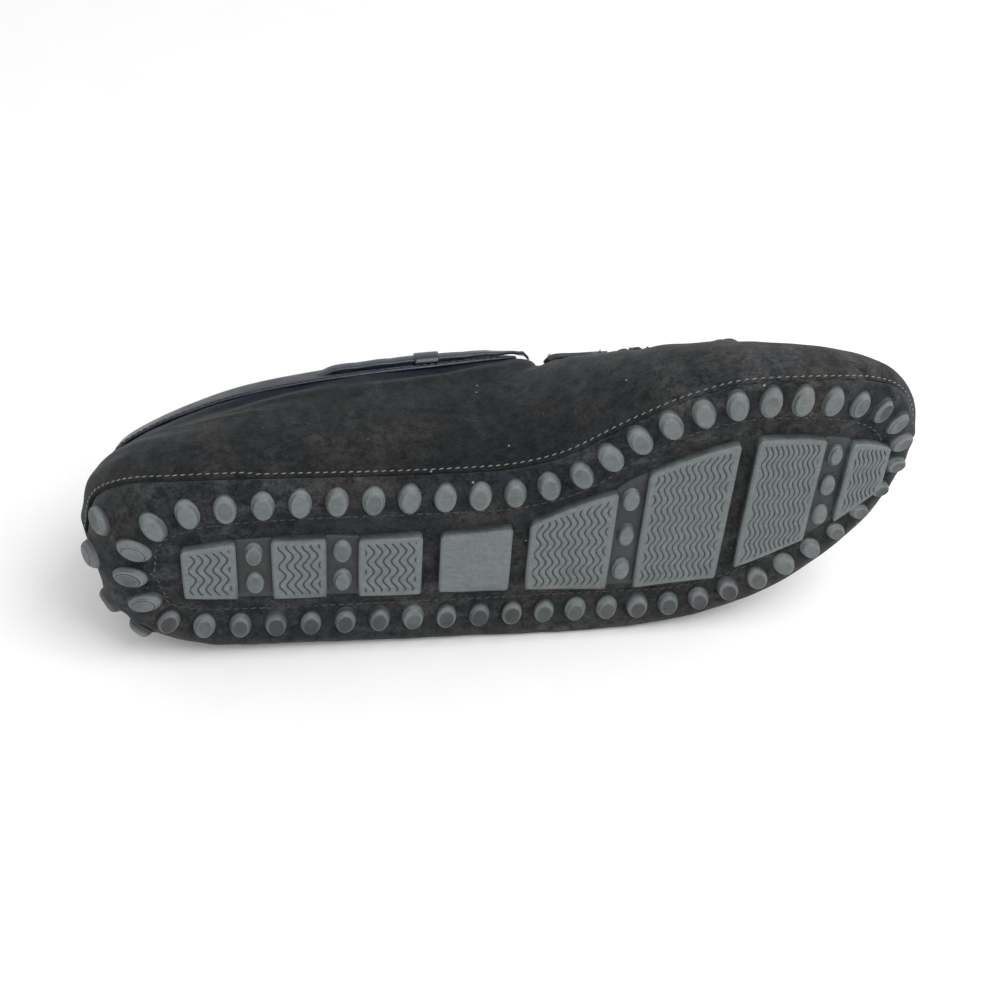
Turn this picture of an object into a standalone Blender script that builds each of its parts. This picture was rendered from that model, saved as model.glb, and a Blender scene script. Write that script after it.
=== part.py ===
# Driving moccasin, left shoe, lying on its outer side with the tread facing -Y and the toe towards +X.
# It is modelled in its own frame (X heel to toe, Y up from the tread, Z towards the inner side of the
# foot, the tread plane at Y = 0) and an empty lays it down. All lengths are in metres.
import math

import bmesh
import bpy
import numpy as np
from mathutils import Matrix, Vector
from mathutils.bvhtree import BVHTree

# Overall sizes of the last
LENGTH = 0.290
BALL_WIDTH = 0.108
INSTEP_HEIGHT = 0.078
HEEL_ROLL = 0.024
# The outer side lies on the floor and is pressed flat: how much of its bulge is left
PRESSED = 0.2

# Walls and the running gap between touching pieces
UPPER_WALL = 0.0020
COVER_WALL = 0.0014
RUBBER_WALL = 0.0013
INSOLE_WALL = 0.0025
GAP = 0.0003
FLAP_GAP = 0.0004

# Tread
STUD_LENGTH = 0.0112
STUD_WIDTH = 0.0072
STUD_HEIGHT = 0.0030
STUD_COUNT = 53
STUD_SIDES = 6
HEEL_PITCH = 1.18
INNER_STUD_SIZE = 0.84
PAD_HEIGHT = 0.0033
PAD_EDGE = 0.0007
WEB_DEPTH = 0.0008
HOLE_CLEARANCE = 0.00035
SPRING_START = 0.225
SPRING_RADIUS = 0.170
SPRING_STEPS = 6
EDGE_STEPS = 3

# Relief of the upper. FULLEST: how far up its height a rib reaches out furthest.
FULLEST = 0.42
SEAM_HEIGHT = 0.0018
COUNTER_STEP = 0.0010
COUNTER_FRONT = 13.6
SEAM_END = 6.6

# Trim
BINDING_WALL = 0.0011
LACE_WIDTH = 0.0042
LACE_THICKNESS = 0.0012
KEEPER_WIDTH = 0.0090
STRAP_THICKNESS = 0.0019
TONGUE_THICKNESS = 0.0022
TONGUE_WIDTH = 0.038
TONGUE_LENGTH = 0.036

# A row for each section from the middle of the toe back to the middle of the heel.
# foot, top: distance from the heel over LENGTH. inner, outer, top_inner, top_outer: side over BALL_WIDTH.
# edge, roll: height and width of the rounded edge of the bottom over HEEL_ROLL.
# top_rise, lift: height over INSTEP_HEIGHT. bulge, shoulder: reach outwards over BALL_WIDTH.
# stud_inner, stud_outer: how far the stud line lies inside the edge, over STUD_LENGTH.
COLUMNS = ("foot", "inner", "outer", "edge", "roll", "top", "top_inner", "top_outer", "top_rise",
           "bulge", "shoulder", "lift", "stud_inner", "stud_outer")
SECTIONS = (
    (0.993, 0.287, 0.287, 0.16, 0.34, 0.890, 0.275, 0.275, 0.470, 0.100, 0.18, 0.00, 0.72, 0.72),
    (0.978, 0.430, 0.136, 0.16, 0.33, 0.869, 0.270, 0.270, 0.510, 0.095, 0.20, 0.00, 0.75, 0.90),
    (0.949, 0.532, 0.004, 0.16, 0.30, 0.838, 0.255, 0.255, 0.560, 0.085, 0.24, 0.00, 0.75, 1.02),
    (0.908, 0.592, -0.099, 0.15, 0.26, 0.800, 0.230, 0.230, 0.620, 0.075, 0.28, 0.00, 0.68, 1.02),
    (0.857, 0.625, -0.194, 0.12, 0.22, 0.755, 0.200, 0.200, 0.680, 0.066, 0.31, 0.00, 0.58, 1.00),
    (0.800, 0.640, -0.276, 0.10, 0.19, 0.707, 0.162, 0.162, 0.750, 0.060, 0.33, 0.00, 0.54, 0.98),
    (0.738, 0.632, -0.340, 0.10, 0.19, 0.662, 0.122, 0.122, 0.820, 0.060, 0.34, 0.00, 0.52, 1.00),
    (0.676, 0.576, -0.374, 0.10, 0.19, 0.624, 0.085, 0.085, 0.910, 0.065, 0.34, 0.00, 0.42, 1.12),
    (0.614, 0.486, -0.386, 0.10, 0.19, 0.586, 0.045, 0.045, 1.000, 0.075, 0.34, 0.00, 0.46, 1.25),
    (0.552, 0.385, -0.390, 0.10, 0.19, 0.552, 0.225, -0.195, 0.970, 0.065, 0.12, -0.02, 0.66, 1.30),
    (0.490, 0.340, -0.390, 0.10, 0.19, 0.497, 0.300, -0.300, 0.910, 0.052, 0.05, -0.12, 0.72, 1.28),
    (0.414, 0.332, -0.386, 0.10, 0.19, 0.414, 0.318, -0.325, 0.875, 0.052, 0.04, -0.22, 0.70, 1.26),
    (0.331, 0.333, -0.382, 0.10, 0.19, 0.331, 0.318, -0.325, 0.840, 0.052, 0.04, -0.24, 0.70, 1.24),
    (0.248, 0.338, -0.378, 0.11, 0.20, 0.255, 0.304, -0.315, 0.810, 0.052, 0.04, -0.24, 0.74, 1.22),
    (0.172, 0.338, -0.374, 0.14, 0.22, 0.186, 0.276, -0.288, 0.785, 0.050, 0.04, -0.24, 0.80, 1.22),
    (0.110, 0.320, -0.360, 0.24, 0.32, 0.131, 0.230, -0.245, 0.765, 0.045, 0.04, -0.22, 0.85, 1.22),
    (0.055, 0.268, -0.312, 0.50, 0.52, 0.080, 0.166, -0.185, 0.755, 0.042, 0.04, -0.20, 1.05, 1.30),
    (0.015, 0.157, -0.209, 0.83, 0.70, 0.041, 0.090, -0.112, 0.752, 0.040, 0.04, -0.20, 1.28, 1.50),
    (-0.001, -0.014, -0.014, 1.00, 0.76, 0.028, -0.014, -0.014, 0.755, 0.040, 0.04, -0.20, 1.36, 1.36),
)
THROAT = 8
HEEL = len(SECTIONS) - 1
BINDING_START = THROAT + 1.5
PRESS_FROM = 3.5
PRESS_TO = HEEL - 0.5
RUBBER_CLIMB = HEEL - 3

# Parameters up a rib where the moccasin seam and the top of the heel counter run
RIB_ROWS = (0.0, 0.09, 0.20, 0.32, 0.45, 0.56, 0.605, 0.63, 0.655, 0.75, 0.87, 1.0)
SEAM_ROW = 0.63
BINDING_ROW = RIB_ROWS[-2]

# Pads, from heel to toe. near, far: ends over LENGTH. The rest: sides at each end over BALL_WIDTH.
PAD_COLUMNS = ("near", "far", "inner_near", "inner_far", "outer_near", "outer_far")
PADS = (
    (0.110, 0.172, 0.100, 0.124, -0.100, -0.116),
    (0.212, 0.275, 0.128, 0.128, -0.122, -0.125),
    (0.312, 0.386, 0.116, 0.118, -0.130, -0.134),
    (0.407, 0.491, 0.112, 0.133, -0.130, -0.139),
    (0.511, 0.611, 0.144, 0.262, -0.139, -0.155),
    (0.644, 0.746, 0.330, 0.440, -0.156, -0.131),
    (0.766, 0.849, 0.450, 0.432, -0.090, 0.012),
    (0.884, 0.941, 0.400, 0.345, 0.066, 0.176),
)
# First and last pad of each window in the bottom cover
WINDOWS = ((0, 2), (3, 3), (4, 5), (6, 7))
# Studs between two pads: after which pad, and how many
INNER_STUDS = ((0, 2), (1, 2), (4, 3), (6, 3))
# Studs up the back of the heel: section, side of the shoe, and how far round the rounded edge
BACK_STUDS = ((17.0, 1, 0.64), (18.0, 1, 0.66), (17.0, -1, 0.66), (16.1, -1, 0.62))


def table(rows, columns):
    return {name: np.array([row[i] for row in rows]) for i, name in enumerate(columns)}


SECTION = table(SECTIONS, COLUMNS)
PAD = table(PADS, PAD_COLUMNS)


def blend(values, s):
    # Smooth curve through a column of the table, read at section s
    i = min(int(s), len(values) - 2)
    f = s - i
    before = values[i - 1] if i else 2 * values[0] - values[1]
    after = values[i + 2] if i + 2 < len(values) else 2 * values[-1] - values[-2]
    a, b = values[i], values[i + 1]
    slope_a, slope_b = (b - before) / 2, (after - a) / 2
    return (a * (1 + 2 * f) * (1 - f) ** 2 + slope_a * f * (1 - f) ** 2
            + b * f * f * (3 - 2 * f) + slope_b * f * f * (f - 1))


def bend(point):
    # The bottom curls up along an arc ahead of the ball, and what lies on it curls with it
    if point.x <= SPRING_START:
        return point.copy()
    angle = (point.x - SPRING_START) / SPRING_RADIUS
    reach = SPRING_RADIUS - point.y
    return Vector((SPRING_START + reach * math.sin(angle), SPRING_RADIUS - reach * math.cos(angle), point.z))


def cut_across(bm):
    # Cuts the flat bottom at even steps ahead of the ball, so that every layer folds along the same lines
    for k in range(SPRING_STEPS):
        x = SPRING_START + (LENGTH - SPRING_START) * k / SPRING_STEPS
        bmesh.ops.bisect_plane(bm, geom=bm.verts[:] + bm.edges[:] + bm.faces[:], dist=1e-6,
                               plane_co=(x, 0, 0), plane_no=(1, 0, 0))


def bend_all(verts):
    for vert in verts:
        vert.co = bend(vert.co)


def foot_plan(s, sign):
    # Edge of the bottom in plan: x and side, as a Vector
    side = blend(SECTION["inner" if sign > 0 else "outer"], s) * BALL_WIDTH
    return Vector((blend(SECTION["foot"], s) * LENGTH, side))


def outward(s, sign):
    # Unit vector in plan, square to the edge of the bottom and pointing away from the shoe
    step = 0.25
    if s - step < 0 or s + step > HEEL:
        return Vector((1.0 if s < step else -1.0, 0.0))
    along = foot_plan(s - step, sign) - foot_plan(s + step, sign)
    return Vector((-along.y, along.x)).normalized() * sign


def edge_point(s, sign, turn, lift=0.0):
    # A point on the rounded edge: turn 0 is where it leaves the flat bottom, 1 is the stitched line
    roll = blend(SECTION["roll"], s) * HEEL_ROLL
    edge = blend(SECTION["edge"], s) * HEEL_ROLL
    angle = turn * math.pi / 2
    plan = foot_plan(s, sign) - outward(s, sign) * roll * (1 - math.sin(angle))
    return Vector((plan.x, STUD_HEIGHT + edge * (1 - math.cos(angle)) + lift, plan.y))


def top_point(s, sign):
    inner = blend(SECTION["top_inner"], s) * BALL_WIDTH
    outer = blend(SECTION["top_outer"], s) * BALL_WIDTH
    side = (inner + outer) / 2 if s <= THROAT else (inner if sign > 0 else outer)
    return Vector((blend(SECTION["top"], s) * LENGTH, blend(SECTION["top_rise"], s) * INSTEP_HEIGHT, side))


def rib_point(s, sign, t):
    # The last's surface: rib s on one side, from the stitched line (t = 0) to the collar or ridge (t = 1)
    foot = bend(edge_point(s, sign, 1.0, GAP))
    top = top_point(s, sign)
    out = outward(s, sign)
    out = Vector((out.x, 0, out.y))
    height = top.y - foot.y
    bulge = blend(SECTION["bulge"], s) * BALL_WIDTH
    if sign < 0:
        level = min(max((s - PRESS_FROM) / 2, 0.0), 1.0) * min(max((PRESS_TO - s) / 2, 0.0), 1.0)
        bulge *= 1 + (PRESSED - 1) * level
    first = foot + out * bulge + Vector((0, height * FULLEST, 0))
    second = top + out * blend(SECTION["shoulder"], s) * BALL_WIDTH
    second.y += blend(SECTION["lift"], s) * INSTEP_HEIGHT
    u = 1 - t
    return foot * u ** 3 + first * 3 * u * u * t + second * 3 * u * t * t + top * t ** 3


def relief(s, t):
    # How far the outer face stands off the last: the moccasin seam in front, the counter at the heel
    if s < SEAM_END and abs(t - SEAM_ROW) < 0.01:
        return SEAM_HEIGHT * min(1.0, (SEAM_END - s) / 0.6)
    if s > COUNTER_FRONT and t < SEAM_ROW - 0.01:
        return COUNTER_STEP
    return 0.0


def rib_stations():
    # Close together round the toe, throat and heel, further apart along the sides
    stations = {i / 2 for i in range(2 * HEEL + 1) if i % 2 == 0 or i / 2 < THROAT + 1 or i / 2 > HEEL - 3}
    stations |= {BINDING_START, COUNTER_FRONT - 0.05, COUNTER_FRONT + 0.05}
    return sorted(stations)


def material(name, color, roughness, metallic=0.0):
    made = bpy.data.materials.new(name)
    made.use_nodes = True
    shader = made.node_tree.nodes["Principled BSDF"]
    shader.inputs["Base Color"].default_value = (*color, 1.0)
    shader.inputs["Roughness"].default_value = roughness
    shader.inputs["Metallic"].default_value = metallic
    return made


def add_object(name, bm, made=None, smooth=True):
    bmesh.ops.recalc_face_normals(bm, faces=bm.faces)
    mesh = bpy.data.meshes.new(name)
    bm.to_mesh(mesh)
    bm.free()
    if smooth:
        mesh.shade_smooth()
        mesh.set_sharp_from_angle(angle=math.radians(40))
    obj = bpy.data.objects.new(name, mesh)
    bpy.context.scene.collection.objects.link(obj)
    obj.parent = REST
    if made:
        obj.data.materials.append(made)
    return obj


def boolean(obj, name, bm, operation):
    # Joins or cuts the object with a helper, and keeps the result as its mesh
    other = add_object(name, bm, smooth=False)
    modifier = obj.modifiers.new(name, "BOOLEAN")
    modifier.operation = operation
    modifier.object = other
    modifier.solver = "EXACT"
    bpy.context.view_layer.update()
    graph = bpy.context.evaluated_depsgraph_get()
    result = bpy.data.meshes.new_from_object(obj.evaluated_get(graph))
    obj.modifiers.clear()
    obj.data = result
    bpy.data.objects.remove(other, do_unlink=True)


def ring_surface(bm, rows_of, stations, closed_from=None, rows_kept=None):
    # Ribs round the shoe: inner side from toe to heel, then the outer side back. rows_of gives each rib's
    # points. Ribs up to section closed_from share their last point with the rib across from them.
    # rows_kept says how many rows of faces to make between two sections.
    bm.verts.layers.int.new("number")
    order = [(s, 1) for s in stations] + [(s, -1) for s in reversed(stations[1:-1])]
    shared = {}
    ribs = []
    for s, sign in order:
        points = rows_of(s, sign)
        verts = [bm.verts.new(point) for point in points[:-1]]
        if closed_from is not None and s <= closed_from:
            if s not in shared:
                shared[s] = bm.verts.new(points[-1])
            verts.append(shared[s])
        else:
            verts.append(bm.verts.new(points[-1]))
        ribs.append(verts)
    places = [s for s, _ in order]
    for here, there, s, t in zip(ribs, ribs[1:] + ribs[:1], places, places[1:] + places[:1]):
        for row in range(rows_kept(min(s, t)) if rows_kept else len(here) - 1):
            corners = dict.fromkeys((here[row], there[row], there[row + 1], here[row + 1]))
            bm.faces.new(list(corners))
    bmesh.ops.delete(bm, geom=[vert for vert in bm.verts if not vert.link_faces], context="VERTS")
    return ribs


def fill_bottom(bm, ribs, row=0):
    # One flat face inside the ring of ribs
    bm.faces.new([rib[row] for rib in ribs])


def thicken(bm, depth, thickness):
    # Moves an open surface inwards by depth, then gives it a wall that grows further inwards.
    # Returns the inner point of each outer one.
    bmesh.ops.recalc_face_normals(bm, faces=bm.faces)
    foremost = max(bm.faces, key=lambda face: face.calc_center_median().x)
    if foremost.normal.x < 0:
        bmesh.ops.reverse_faces(bm, faces=bm.faces)
    bm.normal_update()
    number = bm.verts.layers.int["number"]
    outer = list(bm.verts)
    for i, vert in enumerate(outer):
        vert[number] = i
    if depth:
        moves = [(vert, vert.normal * vert.calc_shell_factor()) for vert in bm.verts]
        for vert, move in moves:
            vert.co -= move * depth
        bm.normal_update()
    bmesh.ops.solidify(bm, geom=bm.faces[:], thickness=thickness)
    known = set(outer)
    inner = {vert[number]: vert for vert in bm.verts if vert not in known}
    return {vert: inner[vert[number]] for vert in outer}


def level_rim(ribs, row, inner, bent=False):
    # Turns the rim of a wall square to the bottom, so that two rims can face each other
    for rib in ribs:
        outer = rib[row]
        reach = inner[outer].co.x - outer.co.x
        angle = max(0.0, outer.co.x - SPRING_START) / SPRING_RADIUS if bent else 0.0
        inner[outer].co.y = outer.co.y + reach * math.tan(angle)


def bottom_surface(rows_kept=None):
    # The outside of the bottom before it is bent: the flat, then the rounded edge in steps
    bm = bmesh.new()

    def rows(s, sign):
        return [edge_point(s, sign, k / EDGE_STEPS) for k in range(EDGE_STEPS + 1)]

    ribs = ring_surface(bm, rows, rib_stations(), rows_kept=rows_kept)
    fill_bottom(bm, ribs)
    return bm, ribs


def surface_tree(bm):
    bmesh.ops.recalc_face_normals(bm, faces=bm.faces)
    bm.normal_update()
    tree = BVHTree.FromBMesh(bm)
    bm.free()
    return tree


def rubber_rows(s):
    # The rubber stops just round the edge, and climbs the back of the heel
    return 2 if s >= RUBBER_CLIMB else 1


def inset_plan(s, sign, inset):
    return foot_plan(s, sign) - outward(s, sign) * inset


def stud_line():
    # Closed line of stud places: inner side from toe to heel, then the outer side back
    fine = [i * HEEL / 160 for i in range(161)]
    line = []
    for sign, stations in ((1, fine), (-1, fine[::-1])):
        column = SECTION["stud_inner" if sign > 0 else "stud_outer"]
        for s in stations[:-1]:
            line.append((inset_plan(s, sign, blend(column, s) * STUD_LENGTH), outward(s, sign)))
    return line


def stud_places():
    # Studs stand at even steps of the line, which are wider at the heel than at the toe
    line = stud_line()
    travel = [0.0]
    for (here, _), (there, _) in zip(line, line[1:] + line[:1]):
        share = min(max((here.x + there.x) / 2 / LENGTH, 0.0), 1.0)
        travel.append(travel[-1] + (there - here).length / (HEEL_PITCH + (1 - HEEL_PITCH) * share))
    start = travel[160]
    places = []
    for k in range(STUD_COUNT):
        goal = (start + travel[-1] * k / STUD_COUNT) % travel[-1]
        i = int(np.searchsorted(travel, goal, side="right")) - 1
        f = (goal - travel[i]) / (travel[i + 1] - travel[i])
        there, turned = line[(i + 1) % len(line)]
        places.append((line[i][0].lerp(there, f), line[i][1].lerp(turned, f).normalized()))
    return places


def stud_frame(tree, origin, ray, out):
    # Where a stud stands on the bottom's outside: its axis is the surface normal, x its long way
    hit, normal, _, _ = tree.ray_cast(origin, ray)
    return surface_frame(hit, normal if normal.dot(ray) < 0 else -normal, out)


def surface_frame(hit, axis, out):
    across = axis.cross(out).normalized()
    long_way = across.cross(axis)
    return Matrix((long_way, across, axis)).transposed().to_4x4(), hit


def all_studs(tree):
    # Frames and sizes of every stud: (rotation, point, length, width)
    studs = []
    for plan, out in stud_places():
        turn, hit = stud_frame(tree, Vector((plan.x, -LENGTH, plan.y)), Vector((0, 1, 0)), Vector((out.x, 0, out.y)))
        studs.append((turn, hit, STUD_LENGTH, STUD_WIDTH))
    for pad, count in INNER_STUDS:
        x = (PAD["far"][pad] + PAD["near"][pad + 1]) / 2 * LENGTH
        inner = (PAD["inner_far"][pad] + PAD["inner_near"][pad + 1]) / 2 * BALL_WIDTH
        outer = (PAD["outer_far"][pad] + PAD["outer_near"][pad + 1]) / 2 * BALL_WIDTH
        for k in range(count):
            side = outer + (inner - outer) * (k + 0.5) / count
            turn, hit = stud_frame(tree, Vector((x, -LENGTH, side)), Vector((0, 1, 0)), Vector((0, 0, 1)))
            studs.append((turn, hit, STUD_LENGTH * INNER_STUD_SIZE, STUD_WIDTH * INNER_STUD_SIZE))
    for s, sign, turned in BACK_STUDS:
        hit, normal, _, _ = tree.find_nearest(edge_point(s, sign, turned))
        axis = normal if normal.x < 0 else -normal
        turn, hit = surface_frame(hit, axis, Vector((0, 1, 0)))
        studs.append((turn, hit, STUD_LENGTH, STUD_WIDTH))
    return studs


def join_loops(bm, loops):
    # Walls between equal loops, with both ends filled
    count = len(loops[0])
    for here, there in zip(loops, loops[1:]):
        for k in range(count):
            n = (k + 1) % count
            bm.faces.new((here[n], there[n], there[k], here[k]))
    bm.faces.new(loops[0][::-1])
    bm.faces.new(loops[-1])


def ellipse_post(bm, turn, point, length, width, low, high):
    # An oval post along the frame's own axis from low to high
    loops = []
    for level in (low, high):
        loop = []
        for k in range(STUD_SIDES):
            angle = 2 * math.pi * k / STUD_SIDES
            local = Vector((length / 2 * math.cos(angle), width / 2 * math.sin(angle), level))
            loop.append(bm.verts.new(turn @ local + point))
        loops.append(loop)
    join_loops(bm, loops)


def block(bm, corners, low, high, edge=0.0):
    # A block on the bottom: corners in plan, low and high measured down from the cover's outside
    levels = [(low, 0.0), (high - edge, 0.0), (high, edge)] if edge else [(low, 0.0), (high, 0.0)]
    centre = sum(corners, Vector((0, 0))) / len(corners)
    loops = []
    for level, shrink in levels:
        loop = []
        for corner in corners:
            towards = centre - corner
            plan = corner + towards.normalized() * shrink * math.sqrt(2)
            loop.append(bm.verts.new((plan.x, STUD_HEIGHT - level, plan.y)))
        loops.append(loop)
    join_loops(bm, loops)


def pad_corners(first, last, grow=0.0):
    # Outline in plan from the near end of one pad to the far end of another, grown all round
    inner = []
    outer = []
    for pad in range(first, last + 1):
        for end in ("near", "far"):
            x = PAD[end][pad] * LENGTH
            if end == "near" and pad == first:
                x -= grow
            if end == "far" and pad == last:
                x += grow
            inner.append(Vector((x, PAD["inner_" + end][pad] * BALL_WIDTH + grow)))
            outer.append(Vector((x, PAD["outer_" + end][pad] * BALL_WIDTH - grow)))
    return inner + outer[::-1]


def make_cover(studs, made):
    bm, ribs = bottom_surface()
    level_rim(ribs, -1, thicken(bm, 0.0, COVER_WALL))
    cut_across(bm)
    cover = add_object("sole_cover", bm, made)
    holes = bmesh.new()
    for turn, point, length, width in studs[:STUD_COUNT] + studs[-len(BACK_STUDS):]:
        ellipse_post(holes, turn, point, length + 2 * HOLE_CLEARANCE, width + 2 * HOLE_CLEARANCE,
                     -2 * COVER_WALL, 2 * COVER_WALL)
    boolean(cover, "stud_holes", holes, "DIFFERENCE")
    windows = bmesh.new()
    for first, last in WINDOWS:
        block(windows, pad_corners(first, last, HOLE_CLEARANCE), -2 * COVER_WALL, 2 * COVER_WALL)
    boolean(cover, "pad_windows", windows, "DIFFERENCE")
    bend_all(cover.data.vertices)
    return cover


def make_rubber(studs, made):
    bm, _ = bottom_surface(rubber_rows)
    thicken(bm, COVER_WALL + GAP, RUBBER_WALL)
    cut_across(bm)
    rubber = add_object("rubber_unit", bm, made)
    root = -(COVER_WALL + GAP + RUBBER_WALL / 2)
    webs = bmesh.new()
    for first, last in WINDOWS:
        block(webs, pad_corners(first, last), root, -WEB_DEPTH)
    cut_across(webs)
    boolean(rubber, "webs", webs, "UNION")
    pads = bmesh.new()
    for pad in range(len(PADS)):
        block(pads, pad_corners(pad, pad, -GAP / 2), root * 0.9, PAD_HEIGHT, PAD_EDGE)
    cut_across(pads)
    boolean(rubber, "pads", pads, "UNION")
    posts = bmesh.new()
    for turn, point, length, width in studs:
        ellipse_post(posts, turn, point, length, width, root * 1.1, STUD_HEIGHT)
    boolean(rubber, "studs", posts, "UNION")
    bend_all(rubber.data.vertices)
    return rubber


def make_upper(made):
    bm = bmesh.new()
    stations = rib_stations()
    reliefs = []

    def rows(s, sign):
        reliefs.append([relief(s, t) for t in RIB_ROWS])
        return [rib_point(s, sign, t) for t in RIB_ROWS]

    ribs = ring_surface(bm, rows, stations, THROAT)
    inner = thicken(bm, 0.0, UPPER_WALL)
    level_rim(ribs, 0, inner, bent=True)
    order = [(s, 1) for s in stations] + [(s, -1) for s in reversed(stations[1:-1])]
    walls = {}
    for at, rib in zip(order, ribs):
        walls[at] = [point.co.copy() for vert in rib[-2:] for point in (vert, inner[vert])]
    for rib, heights in zip(ribs, reliefs):
        for vert, height in zip(rib, heights):
            vert.co += (vert.co - inner[vert].co).normalized() * height
    return add_object("upper", bm, made), walls


def wall_frame(s, sign, t):
    # A point of the last with its outward normal and the direction up the rib
    step = 0.02
    low, high = (t - step, t) if t > 0.5 else (t, t + step)
    up = (rib_point(s, sign, high) - rib_point(s, sign, low)).normalized()
    before = rib_point(max(s - step, 0), sign, t)
    after = rib_point(min(s + step, HEEL), sign, t)
    normal = up.cross(after - before).normalized() * sign
    if s <= step or s >= HEEL - step:
        normal = Vector((1.0 if s <= step else -1.0, 0, 0))
        normal = (normal - up * normal.dot(up)).normalized()
    return rib_point(s, sign, t), normal, up


def sweep(sections):
    # A solid through equal section loops
    bm = bmesh.new()
    join_loops(bm, [[bm.verts.new(point) for point in section] for section in sections])
    return bm


def collar_route(first):
    # Sections round the collar as (s, sign), from the inner side past the heel to the outer side
    stations = [s for s in rib_stations() if s >= first]
    return [(s, 1) for s in stations] + [(s, -1) for s in reversed(stations[:-1])]


def binding_section(wall):
    # A strip folded over the wall: outer flap, over the rim, inner flap
    foot, foot_inner, rim, rim_inner = wall
    foot_normal = (foot - foot_inner).normalized()
    normal = (rim - rim_inner).normalized()
    up = (rim - foot).normalized()
    outer = FLAP_GAP + BINDING_WALL
    inner = 2 * FLAP_GAP + BINDING_WALL
    return (
        foot + foot_normal * FLAP_GAP,
        foot + foot_normal * outer,
        rim + normal * outer,
        (rim + rim_inner) / 2 + up * outer * 1.5,
        rim_inner - normal * inner,
        foot_inner - foot_normal * inner,
        foot_inner - foot_normal * 2 * FLAP_GAP,
        rim_inner - normal * 2 * FLAP_GAP + up * FLAP_GAP * 2,
        rim + normal * FLAP_GAP + up * FLAP_GAP,
    )


def make_binding(walls, made):
    sections = [binding_section(walls[at]) for at in collar_route(BINDING_START)]
    return add_object("collar_binding", sweep(sections), made)


LACE_FROM = THROAT + 1.7
LACE_TO = THROAT + 4.9
LACE_ROW = 0.955
# The lace's outer face, as a share of its width
LACE_FACE = 0.8
KEEPER_AT = THROAT + 3.05
# Sections of the table in one length of the shoe, along the collar
COLLAR_SECTIONS = 12


def lace_section(s, sign, low, high):
    # A flat strip along the binding's outer flap, from low to high above it
    at, normal, up = wall_frame(s, sign, LACE_ROW)
    half = up * LACE_WIDTH / 2
    under = at + normal * (FLAP_GAP + GAP + BINDING_WALL + low)
    over = at + normal * (FLAP_GAP + GAP + BINDING_WALL + high)
    return (under - half, under + half, over + half * LACE_FACE, over - half * LACE_FACE)


def make_lace(side, sign, made):
    route = [LACE_FROM + (LACE_TO - LACE_FROM) * k / 14 for k in range(15)]
    sections = [lace_section(s, sign, 0, LACE_THICKNESS) for s in route]
    return add_object("collar_lace_" + side, sweep(sections), made)


def make_keeper(side, sign, made):
    # A short band over the lace, open where the lace passes under it
    middle = KEEPER_AT
    half = KEEPER_WIDTH / LENGTH * COLLAR_SECTIONS / 2
    sections = []
    for s in (middle - half, middle, middle + half):
        at, normal, up = wall_frame(s, sign, LACE_ROW)
        base = at + normal * (FLAP_GAP + GAP + BINDING_WALL)
        reach = up * (LACE_WIDTH / 2 + GAP)
        wall = BINDING_WALL
        over = normal * (LACE_THICKNESS + GAP)
        sections.append((
            base - reach - up * wall, base - reach, base - reach + over, base + reach + over, base + reach,
            base + reach + up * wall, base + reach + over + normal * wall, base - reach + over + normal * wall,
        ))
    return add_object("lace_keeper_" + side, sweep(sections), made)


STRAP_BACK = THROAT - 0.05
STRAP_FRONT = THROAT - 1.30
STRAP_END = 0.66


def make_strap(made):
    # A band over the instep that follows the ribs of the upper, from one side to the other
    count = 7
    levels = [STRAP_END + (1 - STRAP_END) * k / count for k in range(count + 1)]
    across = [(t, 1) for t in levels] + [(t, -1) for t in reversed(levels[:-1])]
    along = [STRAP_FRONT + (STRAP_BACK - STRAP_FRONT) * k / 3 for k in range(4)]
    sections = []
    for t, sign in across:
        low = []
        high = []
        for s in along:
            at, normal, _ = wall_frame(s, sign, t)
            if t == 1.0:
                normal = (normal + wall_frame(s, -sign, t)[1]).normalized()
            low.append(at + normal * 2 * GAP)
            high.append(at + normal * (2 * GAP + STRAP_THICKNESS))
        sections.append(low + high[::-1])
    return add_object("saddle_strap", sweep(sections), made)


# The share of the tongue under the vamp, the share that lies flat, and how steeply the rest rises
TONGUE_TUCKED = 0.4
TONGUE_FLAT = 0.18
TONGUE_SLOPE = 0.55
# Along the tongue's free part, as shares of it, and the width there
TONGUE_FREE = ((0.35, 0.92), (0.7, 0.84), (0.9, 0.66), (1.0, 0.42))
TONGUE_AT_THROAT = 0.98


def make_tongue(tree, made):
    # It starts under the vamp and rises out of the throat. tree holds the last's surface.
    throat = top_point(THROAT, 1)
    tucked = TONGUE_LENGTH * TONGUE_TUCKED
    places = [(-tucked, 1.0), (-tucked / 2, 1.0), (0.0, TONGUE_AT_THROAT)]
    places += [(along * (TONGUE_LENGTH - tucked), width) for along, width in TONGUE_FREE]
    sections = []
    for reach, share_of_width in places:
        width = TONGUE_WIDTH * share_of_width
        low = []
        high = []
        for step in range(7):
            share = step / 3 - 1
            side = throat.z + share * width / 2
            x = throat.x - reach
            from_x = max(x, throat.x + tucked * 0.1)
            hit, normal, _, _ = tree.ray_cast(Vector((from_x, LENGTH, side)), Vector((0, -1, 0)))
            drop = (UPPER_WALL + 2 * GAP) / abs(normal.y)
            up = hit.y - drop + max(0.0, throat.x - x - TONGUE_LENGTH * TONGUE_FLAT) * TONGUE_SLOPE
            low.append(Vector((x, up - TONGUE_THICKNESS, side)))
            high.append(Vector((x, up, side)))
        sections.append(low + high[::-1])
    return add_object("tongue", sweep(sections), made)


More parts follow.
